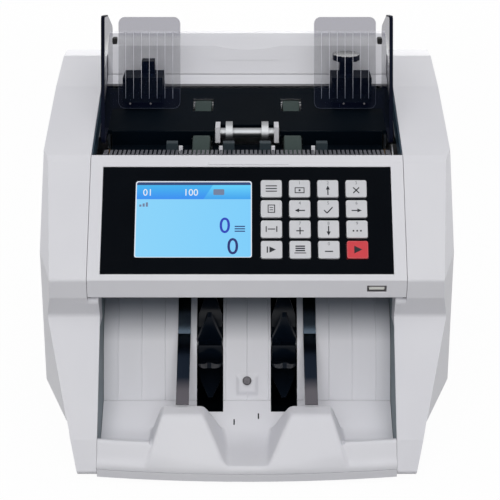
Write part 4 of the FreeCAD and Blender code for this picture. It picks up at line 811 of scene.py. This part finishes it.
ARROW = [(-2.9, -0.32), (0.4, -0.32), (0.4, -1.15), (2.9, 0), (0.4, 1.15), (0.4, 0.32), (-2.9, 0.32)]
PICTOGRAMS = {
    "right": [ARROW],
    "up": [turned(ARROW, 1)],
    "left": [turned(ARROW, 2)],
    "down": [turned(ARROW, 3)],
    "bars": [bar(6.4, 0.6, 0, dy) for dy in (1.6, 0, -1.6)],
    "page": box(4.2, 4.9) + [bar(2.0, 0.45, 0, dy) for dy in (0.7, -0.7)],
    "frame": box(5.6, 3.5) + [bar(1.1, 1.1)],
    "step": [bar(0.7, 3.6, -2.4), [(-1.2, -1.8), (2.4, 0), (-1.2, 1.8)]],
    "plus": [bar(4.2, 0.65), bar(0.65, 1.77, 0, 1.21), bar(0.65, 1.77, 0, -1.21)],
    "stack": [bar(5.4, 0.75, 0, dy) for dy in (2.0, 0.7, -0.6)] + [bar(6.6, 0.5, 0, -2.0)],
    "tick": [slanted((-2.4, 0.2), (-0.7, -1.6)), slanted((-0.7, -1.6), (2.5, 2.0))],
    "cross": [slanted((-1.7, -1.7), (1.7, 1.7)), slanted((-1.7, 1.7), (-0.2, 0.2)),
              slanted((0.2, -0.2), (1.7, -1.7))],
    "dash": [bar(4.6, 0.65)],
    "dots": [bar(0.9, 0.9, dx) for dx in (-2.1, 0, 2.1)],
    "wide": [bar(0.6, 3.4, -3.0), bar(0.6, 3.4, 3.0), bar(4.2, 0.6)],
    "play": [[(-1.9, -2.3), (2.6, 0), (-1.9, 2.3)]],
}
print(len(PICTOGRAMS), "pictograms")

# %% Marks on the keys
def ink(name, color, second):
    """Slightly raised printed ink."""
    return moulded(name, color, second, color, 0.55, 2600, 0.006, 0.1, specular=0.25)


FINISHES["dark_ink"] = ink("key_ink_dark", (14, 18, 26), (20, 24, 32))
FINISHES["pale_ink"] = ink("key_ink_pale", (128, 130, 136), (138, 140, 146))
KEY_MARKS = [("bars", ""), ("frame", "1"), ("up", "2"), ("cross", "3"),
             ("page", ""), ("left", "4"), ("tick", "5"), ("right", "6"),
             ("wide", ""), ("plus", "7"), ("down", "8"), ("dots", "9"),
             ("step", ""), ("stack", ""), ("dash", "0"), ("play", "")]
DIGIT_HEIGHT, DIGIT_UP, UNDER_DIGIT = 2.3, 4.3, -1.3
MARK_SCALE = 1.25
INK = (-0.02, 0.05)


def draw_mark(form, pictogram, up):
    for outline in PICTOGRAMS[pictogram]:
        prism(form, [(x * MARK_SCALE, y * MARK_SCALE + up) for x, y in outline], *INK)


for (key, (row, column)), (pictogram, digit) in zip(keys.items(), KEY_MARKS):
    center = (KEY_FIRST_X + column * KEY_PITCH_X, KEY_FIRST_UP - row * KEY_PITCH_UP, KEY_TOP)
    place = PANEL @ Matrix.Translation(Vector(center) * MM)
    body = body_of[f"key_{key}"]
    drawn(f"mark_{key}", body, "black_plastic",
          lambda form: draw_mark(form, pictogram, UNDER_DIGIT if digit else 0), place, "dark_ink", False)
    if digit:
        drawn(f"digit_{key}", body, "black_plastic",
              lambda form: digits(form, digit, DIGIT_HEIGHT, (0, DIGIT_UP), *INK), place, "pale_ink", False)
print("marked", len(keys), "keys")

# %% [markdown]
# On the screen the count is shown in large blue digits, and a thin pale line frames the picture. The
# digits glow a little like the rest of the display, so their finish gives off its own colour.

# %% Screen picture
LIT_DRIFT = 40.0
SCREEN_INKS = {"blue": (14, 52, 186), "navy": (0, 26, 108), "white": (232, 240, 250), "grey": (112, 128, 158)}
ON_SCREEN, FRAME_ON_SCREEN = (0.0, 0.08), (0.0, 0.3)
FRAME_WIDE, FRAME_ROUND, FRAME_INNER_ROUND = 0.7, 1.8, 1.4
BADGE, BADGE_ROUND = (-24.0, -16.2, 63.8, 68.2), 0.8
LEVELS, LEVEL_WIDE, LEVEL_X, LEVEL_PITCH, LEVEL_FOOT = (1.6, 2.4, 3.2), 1.5, -76, 2.3, 55.0
UNIT_SIZE, UNIT_X, UNIT_UPS = (7.4, 0.8), -5.0, (36.6, 38.4, 40.2)


def lit_ink(name, color):
    return lit(name, 0.9, (10, 16, 30), lambda tree: tone(tree, color, color, LIT_DRIFT), 0.2)


def rounded_outline(left, right, low, top, radius, steps=6):
    """Rectangle with round corners, anticlockwise."""
    points = []
    corners = [(right - radius, low + radius, -90), (right - radius, top - radius, 0),
               (left + radius, top - radius, 90), (left + radius, low + radius, 180)]
    for x, y, start in corners:
        for i in range(steps + 1):
            angle = math.radians(start + 90 * i / steps)
            points.append((x + radius * math.cos(angle), y + radius * math.sin(angle)))
    return points


def rounded_frame(form, left, right, low, top, wide, radii, heights):
    """Thin frame just inside a rectangle with round corners."""
    inner = rounded_outline(left + wide, right - wide, low + wide, top - wide, radii[1])
    ring(form, rounded_outline(left, right, low, top, radii[0]), inner, *heights)


def draw_frame(form):
    rounded_frame(form, SCREEN_LEFT, SCREEN_RIGHT, SCREEN_LOW, SCREEN_TOP, FRAME_WIDE,
                  (FRAME_ROUND, FRAME_INNER_ROUND), FRAME_ON_SCREEN)


def number(*rows):
    """Draws rows of (digits, height, centre) on the screen."""
    return lambda form: [digits(form, *row, *ON_SCREEN) for row in rows]


def patches(outlines):
    """Draws flat outlines on the screen."""
    return lambda form: [prism(form, outline, *ON_SCREEN) for outline in outlines]


for word, color in SCREEN_INKS.items():
    FINISHES[f"screen_{word}"] = lit_ink(f"screen_{word}", color)
level_bars = [bar(LEVEL_WIDE, height, LEVEL_X + LEVEL_PITCH * i, LEVEL_FOOT + height / 2)
              for i, height in enumerate(LEVELS)]
SCREEN_PIECES = {
    "frame": ("white", draw_frame),
    "header_digits": ("white", number(("01", 5.0, (-71.5, 65.8)), ("100", 5.0, (-39.5, 65.8)))),
    "badge": ("grey", patches([rounded_outline(*BADGE, BADGE_ROUND)])),
    "level_bars": ("grey", patches(level_bars)),
    "count_digit": ("blue", number(("0", 11.6, (-15.7, 41.0)))),
    "total_digit": ("navy", number(("0", 12.0, (-10.0, 25.5)))),
    "unit_bars": ("navy", patches([bar(*UNIT_SIZE, UNIT_X, up) for up in UNIT_UPS])),
}
screen_place = PANEL @ Matrix.Translation((0, 0, SCREEN_FACE * MM))
for name, (word, draw) in SCREEN_PIECES.items():
    drawn(f"screen_{name}", body_of["display_screen"], "screen", draw, screen_place, f"screen_{word}", False)
print("screen pieces:", len(SCREEN_PIECES))

# %% [markdown]
# Counted notes land in the tray and lean on two tapered stops. On the real machine this is one soft
# moulding where every face flows into the next. Rounding the solid edge by edge would leave ridges,
# so the surface is written as a height for each place: slanted planes, joined by a soft minimum and
# a soft maximum. The blend width then acts as the radius of every corner.

# %% Tray heights
TRAY_HALF = 104.7
TRAY_REAR, TRAY_REAR_TOP = -79.3, 32.2
TRAY_FOLD, TRAY_FLOOR, TRAY_LOW = -107.0, 14.0, 9.0
TRAY_SHEET = 2.5
FRONT_END, FRONT_BOW = -136.0, 6.7
FRONT_DEEP, FRONT_FROM, FRONT_TO = 3, TRAY_LOW + 2, TRAY_FLOOR + 6
STOP_FOOT, STOP_TOP = 11.5, 42.4
STOP_ALONG, STOP_ACROSS = [(-143.0, -120.0), (-96.0, -105.0)], [(13.4, 30.0), (71.0, 60.0)]
LIP_TOP, LIP_FRONT, LIP_BACK = 26.3, -125.9, -122.9
LIP_SIDE = (60.0, 68.0)
FOLD_BLEND, STOP_BLEND, LIP_BLEND, FOOT_BLEND, JOIN_BLEND, FRONT_BLEND = 7, 5, 2, 4, 3, 4


def soft_min(a, b, blend):
    near = max(blend - abs(a - b), 0) / blend
    return min(a, b) - near * near * blend / 4


def soft_max(a, b, blend):
    return -soft_min(-a, -b, blend)


def slant(value, start, end, low, high):
    """Height of a slanted face that is low at its start and high at its end."""
    return low + (value - start) * (high - low) / (end - start)


def front_edge(x):
    """Depth of the tray's bowed front at a place across."""
    return FRONT_END - FRONT_BOW * (1 - (x / TRAY_HALF) ** 2)


def tray_slope(y):
    return slant(y, TRAY_FOLD, TRAY_REAR, TRAY_FLOOR, TRAY_REAR_TOP)


def hill(top, blend, faces):
    """Height under a flat top and slanted faces; a face is (value, its foot, its edge, foot height)."""
    height = top
    for value, foot, edge, low in faces:
        height = soft_min(height, slant(value, foot, edge, low, top), blend)
    return height


def tray_height(x, y):
    across, edge = abs(x), front_edge(x)
    bow = edge - FRONT_END
    floor = soft_max(tray_slope(y), TRAY_FLOOR, FOLD_BLEND)
    sides = [(y, *face) for face in STOP_ALONG] + [(across, *face) for face in STOP_ACROSS]
    stop = hill(STOP_TOP, STOP_BLEND, [(*side, STOP_FOOT) for side in sides])
    lip = hill(LIP_TOP, LIP_BLEND, [(y, edge, LIP_FRONT + bow, TRAY_LOW),
                                    (y, TRAY_FOLD, LIP_BACK + bow, TRAY_FLOOR),
                                    (across, *LIP_SIDE, TRAY_LOW)])
    height = soft_max(soft_max(floor, stop, FOOT_BLEND), lip, JOIN_BLEND)
    return soft_min(height, slant(y, edge, edge + FRONT_DEEP, FRONT_FROM, FRONT_TO), FRONT_BLEND)


def tray_bottom(y):
    return max(TRAY_LOW, tray_slope(y) - TRAY_SHEET)


print("tray floor at", TRAY_FLOOR, "mm, stops up to", STOP_TOP, "mm")

# %% Tray surface
SLOT_INNER, SLOT_OUTER, SLOT_FRONT = 17.35, 36.65, -87.0
SLOT_EDGES = [-SLOT_OUTER, -SLOT_INNER, SLOT_INNER, SLOT_OUTER]
TRAY_STEP, TRAY_ROWS, SLOT_ROWS = 1.1, 54, 8


def spread(start, end, count):
    return [start + (end - start) * i / count for i in range(count)]


def columns_between(marks, step):
    """Places across, about a step apart, that meet every mark."""
    marks = sorted(marks)
    places = []
    for a, b in zip(marks, marks[1:]):
        places += spread(a, b, max(1, round((b - a) / step)))
    return places + marks[-1:]


def closed_grid(form, columns, rows, top, low, is_open):
    """Closed sheet over a grid of places; cells that are open are left out and walled."""
    tops, under = {}, {}
    for i, x in enumerate(columns):
        for j, row in enumerate(rows):
            tops[i, j] = form.verts.new(Vector(top(x, row)) * MM)
            under[tops[i, j]] = form.verts.new(Vector(low(x, row)) * MM)
    for i, (x, next_x) in enumerate(zip(columns, columns[1:])):
        for j, (row, next_row) in enumerate(zip(rows, rows[1:])):
            if not is_open((x + next_x) / 2, (row + next_row) / 2):
                corners = [tops[i, j], tops[i + 1, j], tops[i + 1, j + 1], tops[i, j + 1]]
                form.faces.new(corners)
                form.faces.new([under[corner] for corner in corners])
    rim = [edge.verts[:] for edge in form.edges if edge.is_boundary and edge.verts[0] in under]
    for a, b in rim:
        form.faces.new((a, b, under[b], under[a]))
    loose = [vert for vert in form.verts if not vert.link_faces]
    bmesh.ops.delete(form, geom=loose, context="VERTS")


def over_slot(x):
    return SLOT_INNER < abs(x) < SLOT_OUTER


def draw_tray(form):
    slot_share = (SLOT_FRONT - front_edge(SLOT_OUTER)) / (TRAY_REAR - front_edge(SLOT_OUTER))

    def depth(x, share):
        return front_edge(x) + share * (TRAY_REAR - front_edge(x))

    closed_grid(form, columns_between([-TRAY_HALF, TRAY_HALF] + SLOT_EDGES, TRAY_STEP),
                spread(0, slot_share, TRAY_ROWS) + spread(slot_share, 1, SLOT_ROWS) + [1],
                lambda x, share: (x, depth(x, share), tray_height(x, depth(x, share))),
                lambda x, share: (x, depth(x, share), tray_bottom(depth(x, share))),
                lambda x, share: over_slot(x) and share > slot_share)


tray = drawn("tray_shell", body_of["stacker_tray"], "casing", draw_tray)
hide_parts("stacker_tray")
print("tray_shell", len(tray.data.polygons), "faces")

# %% [markdown]
# The chute above the tray is a bent sheet, so its bend is rolled and not sharp. It is drawn like the
# tray, as a grid: one direction runs across and the other down a smooth line, and fine ribs and the
# screw pad lift the grid off that line. Behind the wheel slots sit black sheets, painted shade that
# makes the slots look black.

# %% Chute
CHUTE = [(-30.0, 112.5), (-61.0, 77.0), (-79.0, 32.2)]
BEND_REACH = 16.0
TOP_ROWS, BEND_ROWS, LOW_ROWS = 12, 14, 30
CHUTE_STEP = 3.0
SLOT_TOP_Z = 104.3
RIB_PLACES = [-94.0, -77.0, -60.0, -15.6, 0.0, 15.6, 60.0, 77.0, 94.0]
RIB_HALF, RIB_RISE, RIB_SLOPE = 0.45, 0.7, 0.2
PAD_HALF, PAD_RISE, PAD_LOW_Z, PAD_HIGH_Z = 8.7, 1.6, 35.2, 50.2
PAD_SLOPE, PAD_STEPS = 3.6, 6


def bend_between(a, corner, b, steps):
    """Points of a curve from a towards b that is drawn to a corner; b itself is left out."""
    return [a * (1 - t) ** 2 + corner * 2 * t * (1 - t) + b * t * t for t in spread(0, 1, steps)]


def run_at(line, i):
    """Direction of a line of points at one of them."""
    return (line[min(i + 1, len(line) - 1)] - line[max(i - 1, 0)]).normalized()


def chute_line():
    """Points down the chute, with a curve at the bend."""
    top, bend, end = (Vector(point) for point in CHUTE)
    a = bend + (top - bend).normalized() * BEND_REACH
    b = bend + (end - bend).normalized() * BEND_REACH
    upper = [top.lerp(a, t) for t in spread(0, 1, TOP_ROWS)]
    lower = [b.lerp(end, t) for t in spread(0, 1, LOW_ROWS)]
    return upper + bend_between(a, bend, b, BEND_ROWS) + lower + [end]


def chute_lift(x, z):
    """How far ribs and pad stand off the chute."""
    rib = max(min((RIB_HALF - abs(x - place)) / RIB_SLOPE, 1) for place in RIB_PLACES)
    pad = max(0, min(PAD_HALF - abs(x), z - PAD_LOW_Z, PAD_HIGH_Z - z, PAD_SLOPE)) / PAD_SLOPE
    return max(RIB_RISE * max(rib, 0), PAD_RISE * pad * pad * (3 - 2 * pad))


def draw_chute(form):
    line = chute_line()
    runs = [run_at(line, row) for row in range(len(line))]

    def place(x, row, off):
        point = line[row] + Vector((runs[row].y, -runs[row].x)) * off
        return (x, point.x, point.y)

    sides = (-1, 1)
    offs = (RIB_HALF - RIB_SLOPE, RIB_HALF)
    marks = [-TRAY_HALF, TRAY_HALF] + SLOT_EDGES
    marks += [middle + side * off for middle in RIB_PLACES for side in sides for off in offs]
    marks += [side * (PAD_HALF - off) for side in sides for off in spread(0, PAD_SLOPE, PAD_STEPS)]
    closed_grid(form, columns_between(marks, CHUTE_STEP), list(range(len(line))),
                lambda x, row: place(x, row, chute_lift(x, line[row].y)),
                lambda x, row: place(x, row, -TRAY_SHEET),
                lambda x, row: over_slot(x) and line[int(row)].y < SLOT_TOP_Z)


chute = drawn("chute_shell", body_of["stacker_chute"], "casing", draw_chute, look="chute")
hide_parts("stacker_chute")
print("chute_shell", len(chute.data.polygons), "faces")

# %% Slot shade sheets
SHADE_SHEET_PLACES, SHADE_SHEET_HALF = (-27.0, 27.0), 10.6
SHADE_SHEET_LINE = [(-90.5, 22.0), (-80.0, 16.5), (-66.0, 13.6), (-48.0, 13.0), (-30.0, 15.5)]
SHADE_SHEET_SIDE = SHADE_SHEET_LINE + [(-30.0, 20.0), (-86.0, 26.5)]
SHADE_SHEET_BACK = [(-30.0, 15.5), (-12.0, 24.0), (2.0, 38.0), (9.0, 56.0), (10.0, 100.0)]
SHADE_SHEET_THICKNESS, BACK_WIDER = 1.2, 3.0
ACROSS = Matrix(((0, 0, 1, 0), (1, 0, 0, 0), (0, 1, 0, 0), (0, 0, 0, 1)))


def draw_shade_sheets(form):
    """Painted shade: black sheets that run under and behind the wheels, with turned-up sides."""
    under = SHADE_SHEET_LINE + [(y, z - SHADE_SHEET_THICKNESS) for y, z in reversed(SHADE_SHEET_LINE)]
    back = SHADE_SHEET_BACK + [(y + SHADE_SHEET_THICKNESS, z) for y, z in reversed(SHADE_SHEET_BACK)]
    for middle in SHADE_SHEET_PLACES:
        left, right = middle - SHADE_SHEET_HALF, middle + SHADE_SHEET_HALF
        prism(form, under, left, right)
        for x in (left, right - SHADE_SHEET_THICKNESS):
            prism(form, SHADE_SHEET_SIDE, x, x + SHADE_SHEET_THICKNESS)
        prism(form, back, left - BACK_WIDER, right + BACK_WIDER)


drawn("slot_shade_sheets", body_of["stacker_tray"], "black_plastic", draw_shade_sheets, ACROSS, smooth=False)
print("shade sheets under both wheels")

# %% [markdown]
# What is left are the small things that the eye finds last: the tongue of the socket, a finger tab on
# the front's top edge, sensor slits in the tray, rubber bumpers beside the rear bar and the pins
# that hold the guides. Each one is a block with rounded edges or a turned profile.

# %% Small helpers
SIDES = {"left": -1, "right": 1}


def soft_block(form, center, size, radius, turn=HERE):
    """Block with rounded edges, in millimetres."""
    made = bmesh.ops.create_cube(form, size=1.0)
    place = Matrix.Translation(Vector(center) * MM) @ turn @ Matrix.Diagonal(Vector(size) * MM).to_4x4()
    bmesh.ops.transform(form, matrix=place, verts=made["verts"])
    round_edges(form, list({edge for vert in made["verts"] for edge in vert.link_edges}), radius, 3)


def turned_pin(form, profile, place, steps=20):
    """Closed turned shape; the profile is (radius, height) from the axis at the foot to the top."""
    circle = [(math.cos(2 * math.pi * i / steps), math.sin(2 * math.pi * i / steps)) for i in range(steps)]
    skin(form, [flat_loop(form, [(radius * x, radius * y) for x, y in circle] if radius else [(0, 0)],
                          height, place) for radius, height in profile])


def on_guides(name, slot, look, draw, place):
    """The same small piece on both guides; draw takes the form and the side."""
    for word, side in SIDES.items():
        guide = f"{word}_guide"
        drawn(f"{guide}_{name}", body_of[guide], slot, lambda form: draw(form, side), place, look)


print("small helpers ready")

# %% Socket tongue, finger tab and bumpers
# Each block: body, slot, centre, size and round in millimetres, and the place it is drawn in.
REAR, BUMPER = body_of["rear_cover"], (3.6, 7.0, 5.0)
BLOCKS = {
    "socket_tongue": ("chassis", "white_nylon", (91.3, -76.0, 122.65), (11.0, 11.6, 2.2), 0.3, HERE),
    "finger_tab": ("chassis", "casing", (1.2, 87.6, 0.0), (58.0, 2.6, 0.9), 0.4, PANEL),
    "left_bumper": (REAR, "black_rubber", (-106.8, 117.6, 253.6), BUMPER, 0.8, HERE),
    "right_bumper": (REAR, "black_rubber", (106.8, 117.6, 253.6), BUMPER, 0.8, HERE),
}

for name, (body, slot, *block, place) in BLOCKS.items():
    drawn(name, body, slot, lambda form: soft_block(form, *block), place)
print("tongue, tab and bumpers")

# %% Sensor slits and guide pins
SLITS, SLIT_SIZE, SLIT_ROUND, SLIT_SUNK = [(8.3, -90.0), (-9.3, -94.0)], (1.0, 4.6, 0.5), 0.2, 0.1
PIN_PROFILE = [(0, -0.2), (0.8, -0.2), (0.8, 0.2), (0.6, 0.38), (0.3, 0.46), (0, 0.48)]
PIN_PLACES = [(75.0, 3.6), (91.0, 3.6)]
LEAN = Matrix.Translation(Vector((0, 59.0, 213.6)) * MM) @ Matrix.Rotation(math.radians(68.5), 4, "X")


def draw_slits(form):
    tilt = Matrix.Rotation(math.atan2(TRAY_REAR_TOP - TRAY_FLOOR, TRAY_REAR - TRAY_FOLD), 4, "X")
    for x, y in SLITS:
        soft_block(form, (x, y, tray_height(x, y) - SLIT_SUNK), SLIT_SIZE, SLIT_ROUND, tilt)


def draw_pins(form, side):
    for x, up in PIN_PLACES:
        turned_pin(form, PIN_PROFILE, Matrix.Translation(Vector((side * x, up, 0)) * MM))


drawn("sensor_slits", "chassis", "black_plastic", draw_slits)
on_guides("pins", "plain_steel", "dark_steel", draw_pins, LEAN)
print("slits and pins")

# %% [markdown]
# Notes slide down the ribs of the guides, and the crests and rims of clear plastic catch the light
# as thin pale lines, while its cut edges look dark. A plate that only holds back light shows none
# of this, so the pale lines are painted highlights, laid on crests and rims as pale strips, and a
# band of painted shade follows each front edge. The liners are dark blue-grey sheets on the inner
# walls of the hopper, outside the guides.

# %% Rib crests, rims, edges and hopper liners
RIB_MIDDLE, RIB_PITCH, RIB_COUNT = 76.0, 6.1, 7
RIB_LOW, RIB_HIGH, RIB_TOP = 7.4, 58.6, 1.0
CREST_HALF, CREST_RISE = 0.13, 0.14
CREST_TIP = CREST_HALF * 2
RIM_NEAR, RIM_FAR, RIM_TOP, RIM_CORNER, RIM_WIDE = 52.1, 99.9, 70.8, 5.0, 0.08
LINER_NEAR, LINER_FAR, LINER_RIM_NEAR = 112.1, 112.6, 111.7
LINER = [(-16.4, 186.8), (-16.4, 200.4), (-14.9, 202.6), (58.6, 228.6), (60.0, 227.6), (60.0, 213.2)]
LINER_RIM = [(-15.4, 201.3), (-14.9, 202.6), (58.6, 228.6), (58.9, 227.6)]
EDGE_LINE = [(24.0, 207.7), (-6.0, 203.0), (29.06, 292.0), (52.0, 288.0)]
EDGE_ROUND, EDGE_STEPS = 5.0, 6
EDGE_NEAR, EDGE_FAR = 104.5, 107.1
EDGE_PROUD, EDGE_DEEP = 0.1, 0.9


def draw_crests(form, side):
    for i in range(RIB_COUNT):
        x = side * (RIB_MIDDLE + (i - (RIB_COUNT - 1) / 2) * RIB_PITCH)
        left, right, low, high = x - CREST_HALF, x + CREST_HALF, RIB_LOW + CREST_TIP, RIB_HIGH - CREST_TIP
        outline = [(left, low), (x, RIB_LOW), (right, low), (right, high), (x, RIB_HIGH), (left, high)]
        prism(form, outline, RIB_TOP, RIB_TOP + CREST_RISE)


def draw_rim(form, side):
    near, far = sorted((side * RIM_NEAR, side * RIM_FAR))
    radii = (RIM_CORNER, RIM_CORNER - RIM_WIDE)
    rounded_frame(form, near, far, 0.0, RIM_TOP, RIM_WIDE, radii, (0.0, CREST_RISE))


def draw_liner(form, side):
    prism(form, LINER, side * LINER_NEAR, side * LINER_FAR)
    prism(form, LINER_RIM, side * LINER_RIM_NEAR, side * LINER_NEAR)


def rounded_path(points, radius, steps):
    """Open line through points with its inner corners rounded."""
    points = [Vector(point) for point in points]
    path = points[:1]
    for before, corner, after in zip(points, points[1:], points[2:]):
        back, ahead = (before - corner).normalized(), (after - corner).normalized()
        reach = radius / math.tan(back.angle(ahead) / 2)
        a, b = corner + back * reach, corner + ahead * reach
        path += bend_between(a, corner, b, steps) + [b]
    return path + points[-1:]


def draw_edge(form, side):
    """Painted shade: a dark band around the front and top edge of a guide's side plate."""
    path = rounded_path(EDGE_LINE, EDGE_ROUND, EDGE_STEPS)
    near, far = side * EDGE_NEAR, side * EDGE_FAR
    corners = [(far, EDGE_PROUD), (near, EDGE_PROUD), (near, -EDGE_DEEP), (far, -EDGE_DEEP)]
    loops = []
    for i, point in enumerate(path):
        run = run_at(path, i)
        places = [(x, point + Vector((-run.y, run.x)) * off) for x, off in corners]
        loops.append([form.verts.new(Vector((x, *place)) * MM) for x, place in places])
    skin(form, loops)
    form.faces.new(loops[0])
    form.faces.new(loops[-1])


on_guides("edge", "smoky_clear", "edge", draw_edge, HERE)
# Crests and rims carry painted highlights.
on_guides("crests", "smoky_clear", "crest_highlight", draw_crests, LEAN)
on_guides("rim", "smoky_clear", "crest_highlight", draw_rim, LEAN)
for name, side in SIDES.items():
    drawn(f"{name}_hopper_liner", "chassis", "frame_paint",
          lambda form: draw_liner(form, side), ACROSS, "liner")
print("crests on", 2 * RIB_COUNT, "ribs, two liners")

# %% [markdown]
# The rear cover needs room to swing, so there is a gap along its hinge. On the real machine a strip
# behind such a gap keeps dust and light out. Ours is an angle strip, drawn as one outline and
# stretched along the hinge.

# %% Strip behind the hinge
STRIP_HALF = 104.0
STRIP = [(137.9, 124.4), (137.9, 136.6), (137.3, 137.6), (136.7, 136.6), (136.7, 125.8), (133.6, 125.8),
         (132.6, 125.1), (133.6, 124.4)]
drawn("hinge_strip", "chassis", "black_rubber",
      lambda form: prism(form, STRIP, -STRIP_HALF, STRIP_HALF), ACROSS)
print("hinge_strip", 2 * STRIP_HALF, "mm")
